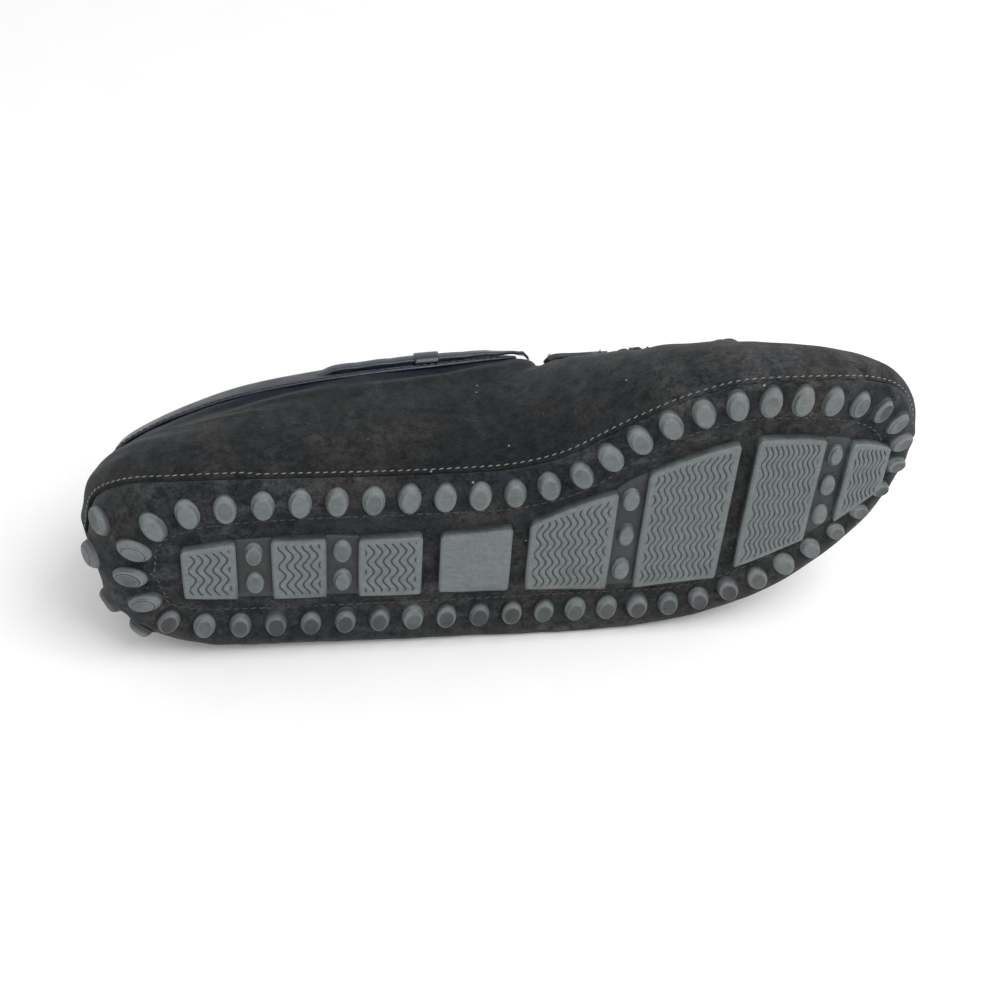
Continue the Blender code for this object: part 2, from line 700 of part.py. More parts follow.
def make_insole(made):
    # A sock over the flat of the bottom, clear of the upper's wall
    level = COVER_WALL + RUBBER_WALL + 2 * GAP
    bm = bmesh.new()
    stations = rib_stations()

    def rows(s, sign):
        plan = inset_plan(s, sign, blend(SECTION["roll"], s) * HEEL_ROLL)
        return [Vector((plan.x, STUD_HEIGHT + level + height, plan.y)) for height in (0, INSOLE_WALL)]

    ribs = ring_surface(bm, rows, stations)
    fill_bottom(bm, ribs, 0)
    fill_bottom(bm, ribs, 1)
    cut_across(bm)
    bend_all(bm.verts)
    return add_object("insole", bm, made)


def rest_matrix(objects):
    # The shoe lies on the hull facet of its outer side that carries its centre of mass
    bpy.context.view_layer.update()
    graph = bpy.context.evaluated_depsgraph_get()
    hull = bmesh.new()
    weight = 0.0
    moment = Vector((0, 0, 0))
    for obj in objects:
        mesh = obj.evaluated_get(graph).to_mesh()
        mesh.calc_loop_triangles()
        points = [vert.co.copy() for vert in mesh.vertices]
        for triangle in mesh.loop_triangles:
            a, b, c = (points[i] for i in triangle.vertices)
            part = a.dot(b.cross(c)) / 6
            weight += part
            moment += (a + b + c) / 4 * part
        for point in points:
            hull.verts.new(point)
    centre = moment / weight
    bmesh.ops.convex_hull(hull, input=hull.verts)
    side = Vector((0, 0, -1))
    best = None
    for face in hull.faces:
        normal = face.normal if face.normal.dot(face.calc_center_median() - centre) > 0 else -face.normal
        if normal.dot(side) < 0.6:
            continue
        foot = centre + normal * (face.verts[0].co - centre).dot(normal)
        corners = [vert.co for vert in face.verts]
        turns = [(b - a).cross(foot - a).dot(normal) for a, b in zip(corners, corners[1:] + corners[:1])]
        if min(turns) * max(turns) >= 0 and (best is None or normal.dot(side) > best.dot(side)):
            best = normal.copy()
    points = [vert.co.copy() for vert in hull.verts]
    hull.free()
    up = -best
    along = (Vector((1, 0, 0)) - up * up.x).normalized()
    turn = Matrix((along, up.cross(along), up))
    laid = np.array([turn @ point for point in points])
    low, high = laid.min(axis=0), laid.max(axis=0)
    shift = Matrix.Translation((-(low[0] + high[0]) / 2, -(low[1] + high[1]) / 2, -low[2]))
    return shift @ turn.to_4x4()


for old in list(bpy.data.objects):
    bpy.data.objects.remove(old, do_unlink=True)
REST = bpy.data.objects.new("rest", None)
bpy.context.scene.collection.objects.link(REST)

suede = material("suede", (0.028, 0.030, 0.034), 0.92)
rubber = material("rubber", (0.165, 0.190, 0.195), 0.62)
leather = material("collar_leather", (0.010, 0.014, 0.026), 0.34)
lace_leather = material("lace_leather", (0.055, 0.070, 0.095), 0.48)
lining = material("lining", (0.230, 0.105, 0.045), 0.70)

bottom_tree = surface_tree(bottom_surface()[0])
last = bmesh.new()
ring_surface(last, lambda s, sign: [rib_point(s, sign, t) for t in RIB_ROWS], rib_stations(), THROAT)
last_tree = surface_tree(last)

stud_list = all_studs(bottom_tree)
upper, collar_walls = make_upper(suede.copy())
pieces = [
    make_cover(stud_list, suede),
    make_rubber(stud_list, rubber),
    upper,
    make_binding(collar_walls, leather),
    make_lace("inner", 1, lace_leather),
    make_lace("outer", -1, lace_leather),
    make_keeper("inner", 1, leather),
    make_keeper("outer", -1, leather),
    make_strap(suede.copy()),
    make_tongue(last_tree, suede.copy()),
    make_insole(lining),
]
REST.matrix_world = rest_matrix(pieces)
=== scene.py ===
import math

import bmesh
import bpy
from mathutils import Euler, Matrix, Vector, noise
from mathutils.bvhtree import BVHTree


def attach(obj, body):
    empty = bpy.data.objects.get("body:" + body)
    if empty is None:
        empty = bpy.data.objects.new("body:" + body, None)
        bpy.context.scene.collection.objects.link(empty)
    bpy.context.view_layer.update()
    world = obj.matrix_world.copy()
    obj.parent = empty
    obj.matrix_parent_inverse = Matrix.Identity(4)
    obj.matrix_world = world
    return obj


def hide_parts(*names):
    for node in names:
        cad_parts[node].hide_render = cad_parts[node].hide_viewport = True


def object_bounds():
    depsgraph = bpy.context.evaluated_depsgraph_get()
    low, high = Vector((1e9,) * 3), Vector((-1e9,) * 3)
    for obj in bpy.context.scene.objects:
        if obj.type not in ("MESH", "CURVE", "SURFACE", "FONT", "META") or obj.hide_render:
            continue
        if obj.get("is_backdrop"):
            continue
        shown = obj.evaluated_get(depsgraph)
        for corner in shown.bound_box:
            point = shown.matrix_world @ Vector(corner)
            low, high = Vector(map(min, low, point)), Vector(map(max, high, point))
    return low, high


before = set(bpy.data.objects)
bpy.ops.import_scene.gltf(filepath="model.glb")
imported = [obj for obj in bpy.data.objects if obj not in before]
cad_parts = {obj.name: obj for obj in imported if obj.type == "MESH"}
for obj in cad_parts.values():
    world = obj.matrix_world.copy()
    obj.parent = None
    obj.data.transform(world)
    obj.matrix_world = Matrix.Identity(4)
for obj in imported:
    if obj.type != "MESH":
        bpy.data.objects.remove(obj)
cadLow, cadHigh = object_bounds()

# The last, in its own frame: X heel to toe, Y up from the tread, Z towards the inner side of the foot.
last = {"length": 0.290, "ballWidth": 0.108, "instepHeight": 0.078, "heelRoll": 0.024, "studHeight": 0.0030,
        "gap": 0.0003, "pressed": 0.2, "fullest": 0.42, "springStart": 0.225, "springRadius": 0.170,
        "throat": 8, "heel": 18, "pressFrom": 3.5, "pressTo": 17.5}

# How the shoe lies on its outer side
lay = Matrix.Translation((-0.1420012, -0.0404107, 0.0439008)) @ Euler(
    (math.radians(-2.1502609), math.radians(0.4199236), 0.0)).to_matrix().to_4x4()

sectionColumns = ("foot", "inner", "outer", "edge", "roll", "top", "topInner", "topOuter", "topRise",
                  "bulge", "shoulder", "lift", "studInner", "studOuter")
sectionRows = (
    (0.993, 0.287, 0.287, 0.16, 0.34, 0.890, 0.275, 0.275, 0.470, 0.100, 0.18, 0.00, 0.72, 0.72),
    (0.978, 0.430, 0.136, 0.16, 0.33, 0.869, 0.270, 0.270, 0.510, 0.095, 0.20, 0.00, 0.75, 0.90),
    (0.949, 0.532, 0.004, 0.16, 0.30, 0.838, 0.255, 0.255, 0.560, 0.085, 0.24, 0.00, 0.75, 1.02),
    (0.908, 0.592, -0.099, 0.15, 0.26, 0.800, 0.230, 0.230, 0.620, 0.075, 0.28, 0.00, 0.68, 1.02),
    (0.857, 0.625, -0.194, 0.12, 0.22, 0.755, 0.200, 0.200, 0.680, 0.066, 0.31, 0.00, 0.58, 1.00),
    (0.800, 0.640, -0.276, 0.10, 0.19, 0.707, 0.162, 0.162, 0.750, 0.060, 0.33, 0.00, 0.54, 0.98),
    (0.738, 0.632, -0.340, 0.10, 0.19, 0.662, 0.122, 0.122, 0.820, 0.060, 0.34, 0.00, 0.52, 1.00),
    (0.676, 0.576, -0.374, 0.10, 0.19, 0.624, 0.085, 0.085, 0.910, 0.065, 0.34, 0.00, 0.42, 1.12),
    (0.614, 0.486, -0.386, 0.10, 0.19, 0.586, 0.045, 0.045, 1.000, 0.075, 0.34, 0.00, 0.46, 1.25),
    (0.552, 0.385, -0.390, 0.10, 0.19, 0.552, 0.225, -0.195, 0.970, 0.065, 0.12, -0.02, 0.66, 1.30),
    (0.490, 0.340, -0.390, 0.10, 0.19, 0.497, 0.300, -0.300, 0.910, 0.052, 0.05, -0.12, 0.72, 1.28),
    (0.414, 0.332, -0.386, 0.10, 0.19, 0.414, 0.318, -0.325, 0.875, 0.052, 0.04, -0.22, 0.70, 1.26),
    (0.331, 0.333, -0.382, 0.10, 0.19, 0.331, 0.318, -0.325, 0.840, 0.052, 0.04, -0.24, 0.70, 1.24),
    (0.248, 0.338, -0.378, 0.11, 0.20, 0.255, 0.304, -0.315, 0.810, 0.052, 0.04, -0.24, 0.74, 1.22),
    (0.172, 0.338, -0.374, 0.14, 0.22, 0.186, 0.276, -0.288, 0.785, 0.050, 0.04, -0.24, 0.80, 1.22),
    (0.110, 0.320, -0.360, 0.24, 0.32, 0.131, 0.230, -0.245, 0.765, 0.045, 0.04, -0.22, 0.85, 1.22),
    (0.055, 0.268, -0.312, 0.50, 0.52, 0.080, 0.166, -0.185, 0.755, 0.042, 0.04, -0.20, 1.05, 1.30),
    (0.015, 0.157, -0.209, 0.83, 0.70, 0.041, 0.090, -0.112, 0.752, 0.040, 0.04, -0.20, 1.28, 1.50),
    (-0.001, -0.014, -0.014, 1.00, 0.76, 0.028, -0.014, -0.014, 0.755, 0.040, 0.04, -0.20, 1.36, 1.36),
)
section = {name: [row[i] for row in sectionRows] for i, name in enumerate(sectionColumns)}


def blend(values, s):  # smooth curve through one column, read at section s
    i = min(int(s), len(values) - 2)
    f = s - i
    a, b = values[i], values[i + 1]
    before = values[i - 1] if i else 2 * a - b
    after = values[i + 2] if i + 2 < len(values) else 2 * b - a
    slopeA, slopeB = (b - before) / 2, (after - a) / 2
    return (a * (1 + 2 * f) * (1 - f) ** 2 + slopeA * f * (1 - f) ** 2
            + b * f * f * (3 - 2 * f) + slopeB * f * f * (f - 1))


def clamp(x):
    return min(max(x, 0.0), 1.0)


def ease(x):
    x = clamp(x)
    return x * x * (3 - 2 * x)


def roughAt(x, y, z=0.0):
    return noise.noise(Vector((x, y, z)))


def measure(column, s, size):  # a column of the sections, in metres
    return blend(section[column], s) * last[size]


def bend(point):  # toe spring
    if point.x <= last["springStart"]:
        return point.copy()
    angle = (point.x - last["springStart"]) / last["springRadius"]
    reach = last["springRadius"] - point.y
    return Vector((last["springStart"] + reach * math.sin(angle),
                   last["springRadius"] - reach * math.cos(angle), point.z))


def footPlan(s, sign):
    return Vector((measure("foot", s, "length"), measure("inner" if sign > 0 else "outer", s, "ballWidth")))


def planAround(s, sign):  # past the toe or heel point the outline goes on along the other side
    if s < 0:
        return footPlan(-s, -sign)
    return footPlan(2 * last["heel"] - s, -sign) if s > last["heel"] else footPlan(s, sign)


def outward(s, sign):
    step = 0.25
    along = planAround(s - step, sign) - planAround(s + step, sign)
    return Vector((-along.y, along.x)).normalized() * sign


def edgePoint(s, sign, turn, lift=0.0):  # turn 0 leaves the flat bottom, 1 is the stitched line
    roll, edge = measure("roll", s, "heelRoll"), measure("edge", s, "heelRoll")
    angle = turn * math.pi / 2
    plan = footPlan(s, sign) - outward(s, sign) * roll * (1 - math.sin(angle))
    return Vector((plan.x, last["studHeight"] + edge * (1 - math.cos(angle)) + lift, plan.y))


def spinePoint(s):  # the middle of the flat bottom
    return edgePoint(s, 1, 0.0).lerp(edgePoint(s, -1, 0.0), 0.5)


def topPoint(s, sign):
    inner, outer = measure("topInner", s, "ballWidth"), measure("topOuter", s, "ballWidth")
    side = (inner + outer) / 2 if s <= last["throat"] else (inner if sign > 0 else outer)
    return Vector((measure("top", s, "length"), measure("topRise", s, "instepHeight"), side))


ribs = {}


def ribPoint(s, sign, t):  # the last's surface, from the stitched line (t = 0) to the collar or ridge (t = 1)
    if (s, sign) not in ribs:
        foot = bend(edgePoint(s, sign, 1.0, last["gap"]))
        top = topPoint(s, sign)
        out = outward(s, sign)
        out = Vector((out.x, 0, out.y))
        bulge = measure("bulge", s, "ballWidth")
        if sign < 0:
            level = clamp((s - last["pressFrom"]) / 2) * clamp((last["pressTo"] - s) / 2)
            bulge *= 1 + (last["pressed"] - 1) * level
        first = foot + out * bulge + Vector((0, (top.y - foot.y) * last["fullest"], 0))
        second = top + out * measure("shoulder", s, "ballWidth")
        second.y += measure("lift", s, "instepHeight")
        ribs[s, sign] = (foot, first, second, top)
    foot, first, second, top = ribs[s, sign]
    u = 1 - t
    return foot * u ** 3 + first * 3 * u * u * t + second * 3 * u * t * t + top * t ** 3


def wallFrame(s, sign, t):  # a point of the last, its outward normal and the way up the rib
    step = 0.02
    low, high = (t - step, t) if t > 0.5 else (t, t + step)
    up = (ribPoint(s, sign, high) - ribPoint(s, sign, low)).normalized()
    along = ribPoint(min(s + step, last["heel"]), sign, t) - ribPoint(max(s - step, 0), sign, t)
    normal = up.cross(along).normalized() * sign
    if s <= step or s >= last["heel"] - step:
        normal = Vector((1.0 if s <= step else -1.0, 0, 0))
        normal = (normal - up * normal.dot(up)).normalized()
    return ribPoint(s, sign, t), normal, up


def evenSections(count):  # sections an even way apart, with one on the throat
    fine = [i * last["heel"] / 720 for i in range(721)]
    travel = [0.0]
    for a, b in zip(fine, fine[1:]):
        travel.append(travel[-1] + sum((footPlan(a, k) - footPlan(b, k)).length for k in (1, -1)) / 2)
    found = []
    i = 0
    for k in range(count + 1):
        while i < 719 and travel[i + 1] < travel[-1] * k / count:
            i += 1
        found.append(fine[i] + (travel[-1] * k / count - travel[i]) / (travel[i + 1] - travel[i]) * fine[1])
    found[0], found[-1] = 0.0, float(last["heel"])
    nearest = min(range(count + 1), key=lambda k: abs(found[k] - last["throat"]))
    found[nearest] = float(last["throat"])
    return found


def newGrid(columns, rows, uvSize, names=()):
    bm = bmesh.new()
    layers = {name: bm.verts.layers.float.new(name) for name in names}
    uv = bm.loops.layers.uv.new("UVMap")
    bmesh.ops.create_grid(bm, x_segments=columns, y_segments=rows, size=0.5)
    for face in bm.faces:
        for loop in face.loops:
            loop[uv].uv = ((loop.vert.co.x + 0.5) * uvSize[0], (loop.vert.co.y + 0.5) * uvSize[1])
    return bm, layers


def ringGrid(columns, rows, place, uvSize=(0.70, 0.12)):
    # A band round the shoe: inner side from toe to heel, then the outer side back
    bm, layers = newGrid(columns, rows, uvSize, ("alongShoe", "upRib", "sideSign"))
    spacing = evenSections(columns // 2)
    for vert in bm.verts:
        column = round((vert.co.x + 0.5) * columns)
        t = round((vert.co.y + 0.5) * rows) / rows
        sign = 1 if column <= columns // 2 else -1
        s = spacing[column if sign > 0 else columns - column]
        vert.co = place(s, sign, t)
        vert[layers["alongShoe"]], vert[layers["upRib"]], vert[layers["sideSign"]] = s, t, sign
    bmesh.ops.remove_doubles(bm, verts=bm.verts, dist=2e-5)
    bmesh.ops.dissolve_degenerate(bm, dist=1e-6, edges=bm.edges)
    faceOutwards(bm, 0)
    return bm, layers


def sheetGrid(columns, rows, place, uvSize):
    bm, _ = newGrid(columns, rows, uvSize)
    for vert in bm.verts:
        vert.co = place(vert.co.x + 0.5, vert.co.y + 0.5)
    bm.normal_update()
    return bm


def capHoles(bm):
    bmesh.ops.holes_fill(bm, edges=[edge for edge in bm.edges if edge.is_boundary], sides=0)


def tubeGrid(columns, rows, place, uvSize):  # a sheet with its long edges joined and its ends capped
    bm = sheetGrid(columns, rows, place, uvSize)
    bmesh.ops.remove_doubles(bm, verts=bm.verts, dist=1e-6)
    capHoles(bm)
    return bm


def makeMesh(name, bm):
    mesh = bpy.data.meshes.new(name)
    bm.to_mesh(mesh)
    bm.free()
    return mesh


def joinInto(whole, bm):
    mesh = makeMesh("joined", bm)
    whole.from_mesh(mesh)
    bpy.data.meshes.remove(mesh)


def addObject(name, data):
    made = bpy.data.objects.new(name, data)
    bpy.context.scene.collection.objects.link(made)
    return made


def applyMoves(moves):
    for vert, move in moves:
        vert.co += move


def faceOutwards(bm, axis):  # turns the sheet over where its face furthest along the axis looks inwards
    bm.normal_update()
    foremost = max(bm.faces, key=lambda face: face.calc_center_median()[axis])
    if foremost.normal[axis] < 0:
        bmesh.ops.reverse_faces(bm, faces=bm.faces)
        bm.normal_update()


def finishPiece(name, bm, materials, nodes=(), recalc=True, wall=0.0, rimMaterial=0):
    if recalc:
        bmesh.ops.recalc_face_normals(bm, faces=bm.faces)
    bmesh.ops.transform(bm, matrix=lay, verts=bm.verts)
    mesh = makeMesh(name, bm)
    for made in materials:
        mesh.materials.append(made)
    mesh.shade_smooth()
    piece = addObject(name, mesh)
    if wall:
        shell = piece.modifiers.new("wall", "SOLIDIFY")
        shell.thickness, shell.offset, shell.material_offset_rim = wall, -1.0, rimMaterial
    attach(piece, "root")
    if nodes:
        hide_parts(*nodes)
    return piece


def smoothPiece(piece):
    subdivide = piece.modifiers.new("smooth", "SUBSURF")
    subdivide.levels = subdivide.render_levels = 1


# Materials
def feed(tree, inputs, values):  # each input takes another node's output, or a value of its own
    for name, value in values.items():
        if isinstance(value, bpy.types.NodeSocket):
            tree.links.new(value, inputs[name])
        else:
            inputs[name].default_value = (*value, 1) if inputs[name].type == "RGBA" else value


def addNode(tree, kind, values=None, **settings):
    node = tree.nodes.new(kind)
    for name, value in settings.items():
        setattr(node, name, value)
    feed(tree, node.inputs, values or {})
    return node


def newMaterial(name, sheen=0.0, coat=0.0, specular=0.5, sheenTint=(1, 1, 1)):
    made = bpy.data.materials.new(name)
    made.use_nodes = True
    tree = made.node_tree
    shader = tree.nodes["Principled BSDF"]
    feed(tree, shader.inputs, {"Sheen Weight": sheen, "Sheen Roughness": 0.55, "Sheen Tint": sheenTint,
                               "Coat Weight": coat, "Coat Roughness": 0.3, "Specular IOR Level": specular})
    return made, tree, shader, addNode(tree, "ShaderNodeTexCoord").outputs["Object"]


def addAttribute(tree, name):
    return addNode(tree, "ShaderNodeAttribute", attribute_name=name).outputs["Fac"]


def addMath(tree, operation, a, b=0.0, c=0.0):
    return addNode(tree, "ShaderNodeMath", {0: a, 1: b, 2: c}, operation=operation).outputs[0]


def addRange(tree, value, low, high, toLow=0.0, toHigh=1.0, smooth=True):
    node = addNode(tree, "ShaderNodeMapRange", {"Value": value, "From Min": low, "From Max": high,
                                                 "To Min": toLow, "To Max": toHigh},
                   interpolation_type="SMOOTHSTEP" if smooth else "LINEAR")
    return node.outputs["Result"]


def addMix(tree, factor, a, b, mode="MIX"):
    node = addNode(tree, "ShaderNodeMix", {0: factor, 6: a, 7: b}, data_type="RGBA", blend_type=mode)
    return node.outputs[2]


def addShade(tree, colour, value):  # the colour made lighter or darker by a value
    grey = addNode(tree, "ShaderNodeCombineColor", {i: value for i in range(3)}).outputs[0]
    return addMix(tree, 1.0, colour, grey, "MULTIPLY")


def addNoise(tree, vector, scale, detail=3.0, roughness=0.55, stretch=None):
    if stretch:
        vector = addNode(tree, "ShaderNodeMapping", {"Vector": vector, "Scale": stretch}).outputs[0]
    return addNode(tree, "ShaderNodeTexNoise", {"Vector": vector, "Scale": scale, "Detail": detail,
                                                 "Roughness": roughness}).outputs["Fac"]


surfaceOutputs = {"Color": "NodeSocketColor", "Roughness": "NodeSocketFloat", "Height": "NodeSocketFloat"}


def newGroup(name, colours, amount, usual):  # named colours and one amount in, a surface out
    group = bpy.data.node_groups.new(name, "ShaderNodeTree")
    group.interface.new_socket(name="Vector", in_out="INPUT", socket_type="NodeSocketVector")
    for label in colours:
        socket = group.interface.new_socket(name=label, in_out="INPUT", socket_type="NodeSocketColor")
        socket.default_value = (0, 0, 0, 1)
    socket = group.interface.new_socket(name=amount, in_out="INPUT", socket_type="NodeSocketFloat")
    socket.default_value = usual
    for label, kind in surfaceOutputs.items():
        group.interface.new_socket(name=label, in_out="OUTPUT", socket_type=kind)
    return group, group.nodes.new("NodeGroupInput").outputs


def endGroup(group, *surface):
    feed(group, group.nodes.new("NodeGroupOutput").inputs, dict(zip(surfaceOutputs, surface)))
    return group


def placeGroup(tree, group, values):  # its colour, roughness and height
    node = addNode(tree, "ShaderNodeGroup", values, node_tree=group)
    return [node.outputs[label] for label in surfaceOutputs]


def makeSuedeNap():
    # Napped leather: cloudy colour, brushed fibres, pale dust specks
    group, given = newGroup("suedeNap", ("Base", "Cool", "Warm", "Dust"), "Dust Amount", 0.3)
    where = given["Vector"]
    cloud = addNoise(group, where, 34, 5, 0.6)
    patch = addNoise(group, where, 11, 3, 0.5)
    smear = addNoise(group, where, 60, 4, 0.6, (1.0, 0.35, 2.2))
    fibre = addNoise(group, where, 950, 2, 0.7)
    clump = addNoise(group, where, 260, 3, 0.65)
    colour = addMix(group, addRange(group, patch, 0.40, 0.62), given["Cool"], given["Base"])
    colour = addMix(group, addRange(group, cloud, 0.50, 0.72), colour, given["Warm"])
    light = addMath(group, "MULTIPLY", addRange(group, smear, 0.45, 0.75), given["Dust Amount"])
    colour = addMix(group, light, colour, given["Dust"])
    shade = addMath(group, "MULTIPLY_ADD", clump, 0.9, addMath(group, "MULTIPLY", fibre, 0.7))
    shade = addRange(group, shade, 0.60, 1.0, 0.34, 1.95, smooth=False)
    colour = addShade(group, colour, shade)
    speck = addNode(group, "ShaderNodeTexVoronoi", {"Vector": where, "Scale": 150.0, "Randomness": 1.0})
    tiny = addRange(group, speck.outputs["Distance"], 0.03, 0.085, 1.0, 0.0)
    chosen = addRange(group, addNode(group, "ShaderNodeSeparateColor",
                                     {"Color": speck.outputs["Color"]}).outputs[0], 0.82, 0.86)
    colour = addMix(group, addMath(group, "MULTIPLY", addMath(group, "MULTIPLY", tiny, chosen), 0.75),
                    colour, (0.30, 0.31, 0.31))
    height = addMath(group, "MULTIPLY_ADD", fibre, 0.35, addMath(group, "MULTIPLY", clump, 0.6))
    height = addMath(group, "ADD", height, addMath(group, "MULTIPLY", cloud, 1.2))
    return endGroup(group, colour, addRange(group, cloud, 0.3, 0.7, 0.97, 0.84), height)


def makeGrain():
    # Smooth leather: small pebbled cells and fine wrinkles
    group, given = newGroup("leatherGrain", ("Base", "Rubbed"), "Rubbed Amount", 0.3)
    where = given["Vector"]
    cells = addNode(group, "ShaderNodeTexVoronoi", {"Vector": where, "Scale": 900.0},
                    feature="DISTANCE_TO_EDGE").outputs["Distance"]
    wrinkle = addNoise(group, where, 240, 4, 0.6, (1.0, 1.0, 2.5))
    worn = addNoise(group, where, 70, 5, 0.65)
    rubbed = addMath(group, "MULTIPLY", addRange(group, worn, 0.50, 0.68), given["Rubbed Amount"])
    colour = addMix(group, rubbed, given["Base"], given["Rubbed"])
    height = addMath(group, "MULTIPLY_ADD", addRange(group, cells, 0.0, 0.25), 0.35, wrinkle)
    return endGroup(group, colour, addRange(group, worn, 0.35, 0.70, 0.28, 0.52), height)


def makeRubberDirtAndShade():
    # Worn rubber: grey-green, chalky high spots, brown dirt and painted shade low down, and a painted
    # highlight where its wear input runs high
    group, given = newGroup("rubberDirtAndShade", ("Base", "Dirt And Shade"), "Wear And Light", 1.0)
    where = given["Vector"]
    cloud = addNoise(group, where, 42, 4, 0.6)
    fine = addNoise(group, where, 620, 4, 0.7)
    scuff = addNoise(group, where, 210, 4, 0.65, (1.0, 1.0, 3.0))
    cleanAndLit = addMath(group, "MULTIPLY_ADD", addMath(group, "SUBTRACT", cloud, 0.5), 1.1, given["Wear And Light"])
    colour = addMix(group, addRange(group, cleanAndLit, 0.10, 0.85), given["Dirt And Shade"], given["Base"])
    rough = addMath(group, "MULTIPLY_ADD", fine, 0.6, addMath(group, "MULTIPLY", scuff, 0.5))
    shade = addRange(group, rough, 0.35, 0.75, 0.72, 1.30, smooth=False)
    return endGroup(group, addShade(group, colour, shade), addRange(group, scuff, 0.3, 0.7, 0.50, 0.72),
                    addMath(group, "MULTIPLY_ADD", fine, 0.4, scuff))


suedeNap, leatherGrain, rubberDirtAndShade = makeSuedeNap(), makeGrain(), makeRubberDirtAndShade()

suedeLook = {"base": (0.0105, 0.0110, 0.0112), "cool": (0.0075, 0.0088, 0.0108),
             "warm": (0.0175, 0.0160, 0.0138), "dust": (0.038, 0.038, 0.038), "navy": (0.006, 0.010, 0.019),
             "bump": 0.00035}


def finishShader(tree, shader, colour, roughness, height, distance):
    bump = addNode(tree, "ShaderNodeBump", {"Strength": 1.0, "Distance": distance, "Height": height})
    feed(tree, shader.inputs, {"Base Color": colour, "Roughness": roughness, "Normal": bump.outputs[0]})


def makeSuede(name, dustAmount=0.35, tint=1.0, navy=0.0):
    made, tree, shader, where = newMaterial(name, sheen=0.10, specular=0.10, sheenTint=(0.75, 0.78, 0.82))
    base, cool, warm = (tuple(x * tint for x in suedeLook[key]) for key in ("base", "cool", "warm"))
    colour, roughness, height = placeGroup(
        tree, suedeNap, {"Vector": where, "Base": base, "Cool": cool, "Warm": warm,
                         "Dust": suedeLook["dust"], "Dust Amount": dustAmount})
    if navy:  # lighter over the forefoot and darker towards the heel, smoother and bluer close under the collar
        along, up = addAttribute(tree, "alongShoe"), addAttribute(tree, "upRib")
        colour = addShade(tree, colour, addRange(tree, along, 5.0, 10.5, 1.35, 0.72))
        near = addMath(tree, "MULTIPLY", addRange(tree, up, 0.66, 0.92, 0.0, navy),
                       addRange(tree, along, 8.0, 9.5))
        colour = addMix(tree, near, colour, suedeLook["navy"])
    finishShader(tree, shader, colour, roughness, height, suedeLook["bump"])
    return made


def makeLeather(name, base, rubbed, amount, coat, distance=0.00012):
    made, tree, shader, where = newMaterial(name, coat=coat)
    surface = placeGroup(tree, leatherGrain, {"Vector": where, "Base": base, "Rubbed": rubbed,
                                              "Rubbed Amount": amount})
    finishShader(tree, shader, *surface, distance)
    return made


# How far the tread's wavy grooves swing, as a share of their spacing
grooveWave = 0.42
# the dark rubber colour stands for dirt and also for painted shade
rubberLook = {"base": (0.115, 0.130, 0.130), "dirtAndShade": (0.030, 0.033, 0.034), "groove": (0.038, 0.046, 0.050),
              "bump": 0.0006}


def makeRubber(name, grooves):
    made, tree, shader, where = newMaterial(name, specular=0.35)
    colour, roughness, height = placeGroup(
        tree, rubberDirtAndShade, {"Vector": where, "Base": rubberLook["base"], "Dirt And Shade": rubberLook["dirtAndShade"],
                           "Wear And Light": addAttribute(tree, "wearAndLight")})
    height = addMath(tree, "MULTIPLY", height, 0.12)
    if grooves:  # rounded zigzag lines across the pad
        uv = addNode(tree, "ShaderNodeSeparateXYZ", {0: addNode(tree, "ShaderNodeUVMap").outputs[0]})
        wave = addMath(tree, "SINE", addMath(tree, "MULTIPLY", uv.outputs[1], 2 * math.pi))
        shifted = addMath(tree, "MULTIPLY_ADD", wave, grooveWave, uv.outputs[0])
        ramp = addMath(tree, "PINGPONG", shifted, 0.5)
        line = addRange(tree, ramp, 0.05, 0.20, 1.0, 0.0)
        line = addMath(tree, "MULTIPLY", line, addAttribute(tree, "field"))
        colour = addMix(tree, addMath(tree, "MULTIPLY", line, 0.88), colour, rubberLook["groove"])
    finishShader(tree, shader, colour, roughness, height, rubberLook["bump"])
    return made


def makeThread(name, base):
    made, tree, shader, where = newMaterial(name, sheen=0.3, specular=0.2)
    twist = addNoise(tree, where, 1800, 2, 0.6)
    dark = tuple(x * 0.55 for x in base)
    colour = addMix(tree, addRange(tree, twist, 0.35, 0.65), dark, base)
    feed(tree, shader.inputs, {"Base Color": colour, "Roughness": addRange(tree, twist, 0.3, 0.7, 0.9, 0.7)})
    return made


suedeUpper = makeSuede("suedeUpper", 0.40, 1.0, 0.65)
suedeSole = makeSuede("suedeSole", 0.75, 1.35)
suedeStrap = makeSuede("suedeStrap", 0.75, 1.15)
collarLeather = makeLeather("collarLeather", (0.0035, 0.0075, 0.0180), (0.014, 0.023, 0.042), 0.60, 0.22)
laceLeather = makeLeather("laceLeather", (0.009, 0.015, 0.028), (0.070, 0.085, 0.110), 0.50, 0.18)
liningLeather = makeLeather("liningLeather", (0.190, 0.085, 0.035), (0.330, 0.200, 0.110), 0.45, 0.0, 0.00025)
rawEdge = makeLeather("rawEdge", (0.040, 0.041, 0.044), (0.300, 0.305, 0.310), 0.7, 0.0, 0.0004)
studRubber, padRubber = makeRubber("studRubber", False), makeRubber("padRubber", True)
paleThread = makeThread("paleThread", (0.19, 0.18, 0.165))
darkThread = makeThread("darkThread", (0.042, 0.041, 0.039))
print("materials made")


# Upper
upperForm = {"columns": 440, "rows": 84, "wall": 0.0012, "seamAt": 0.63, "seamEnd": 6.6, "seamHeight": 0.0021,
             "puckerDeep": 0.0016, "puckerPitch": 0.0064, "counterFront": 13.6, "counterStep": 0.0009,
             "lumps": 0.0005, "toeWave": 0.0032}

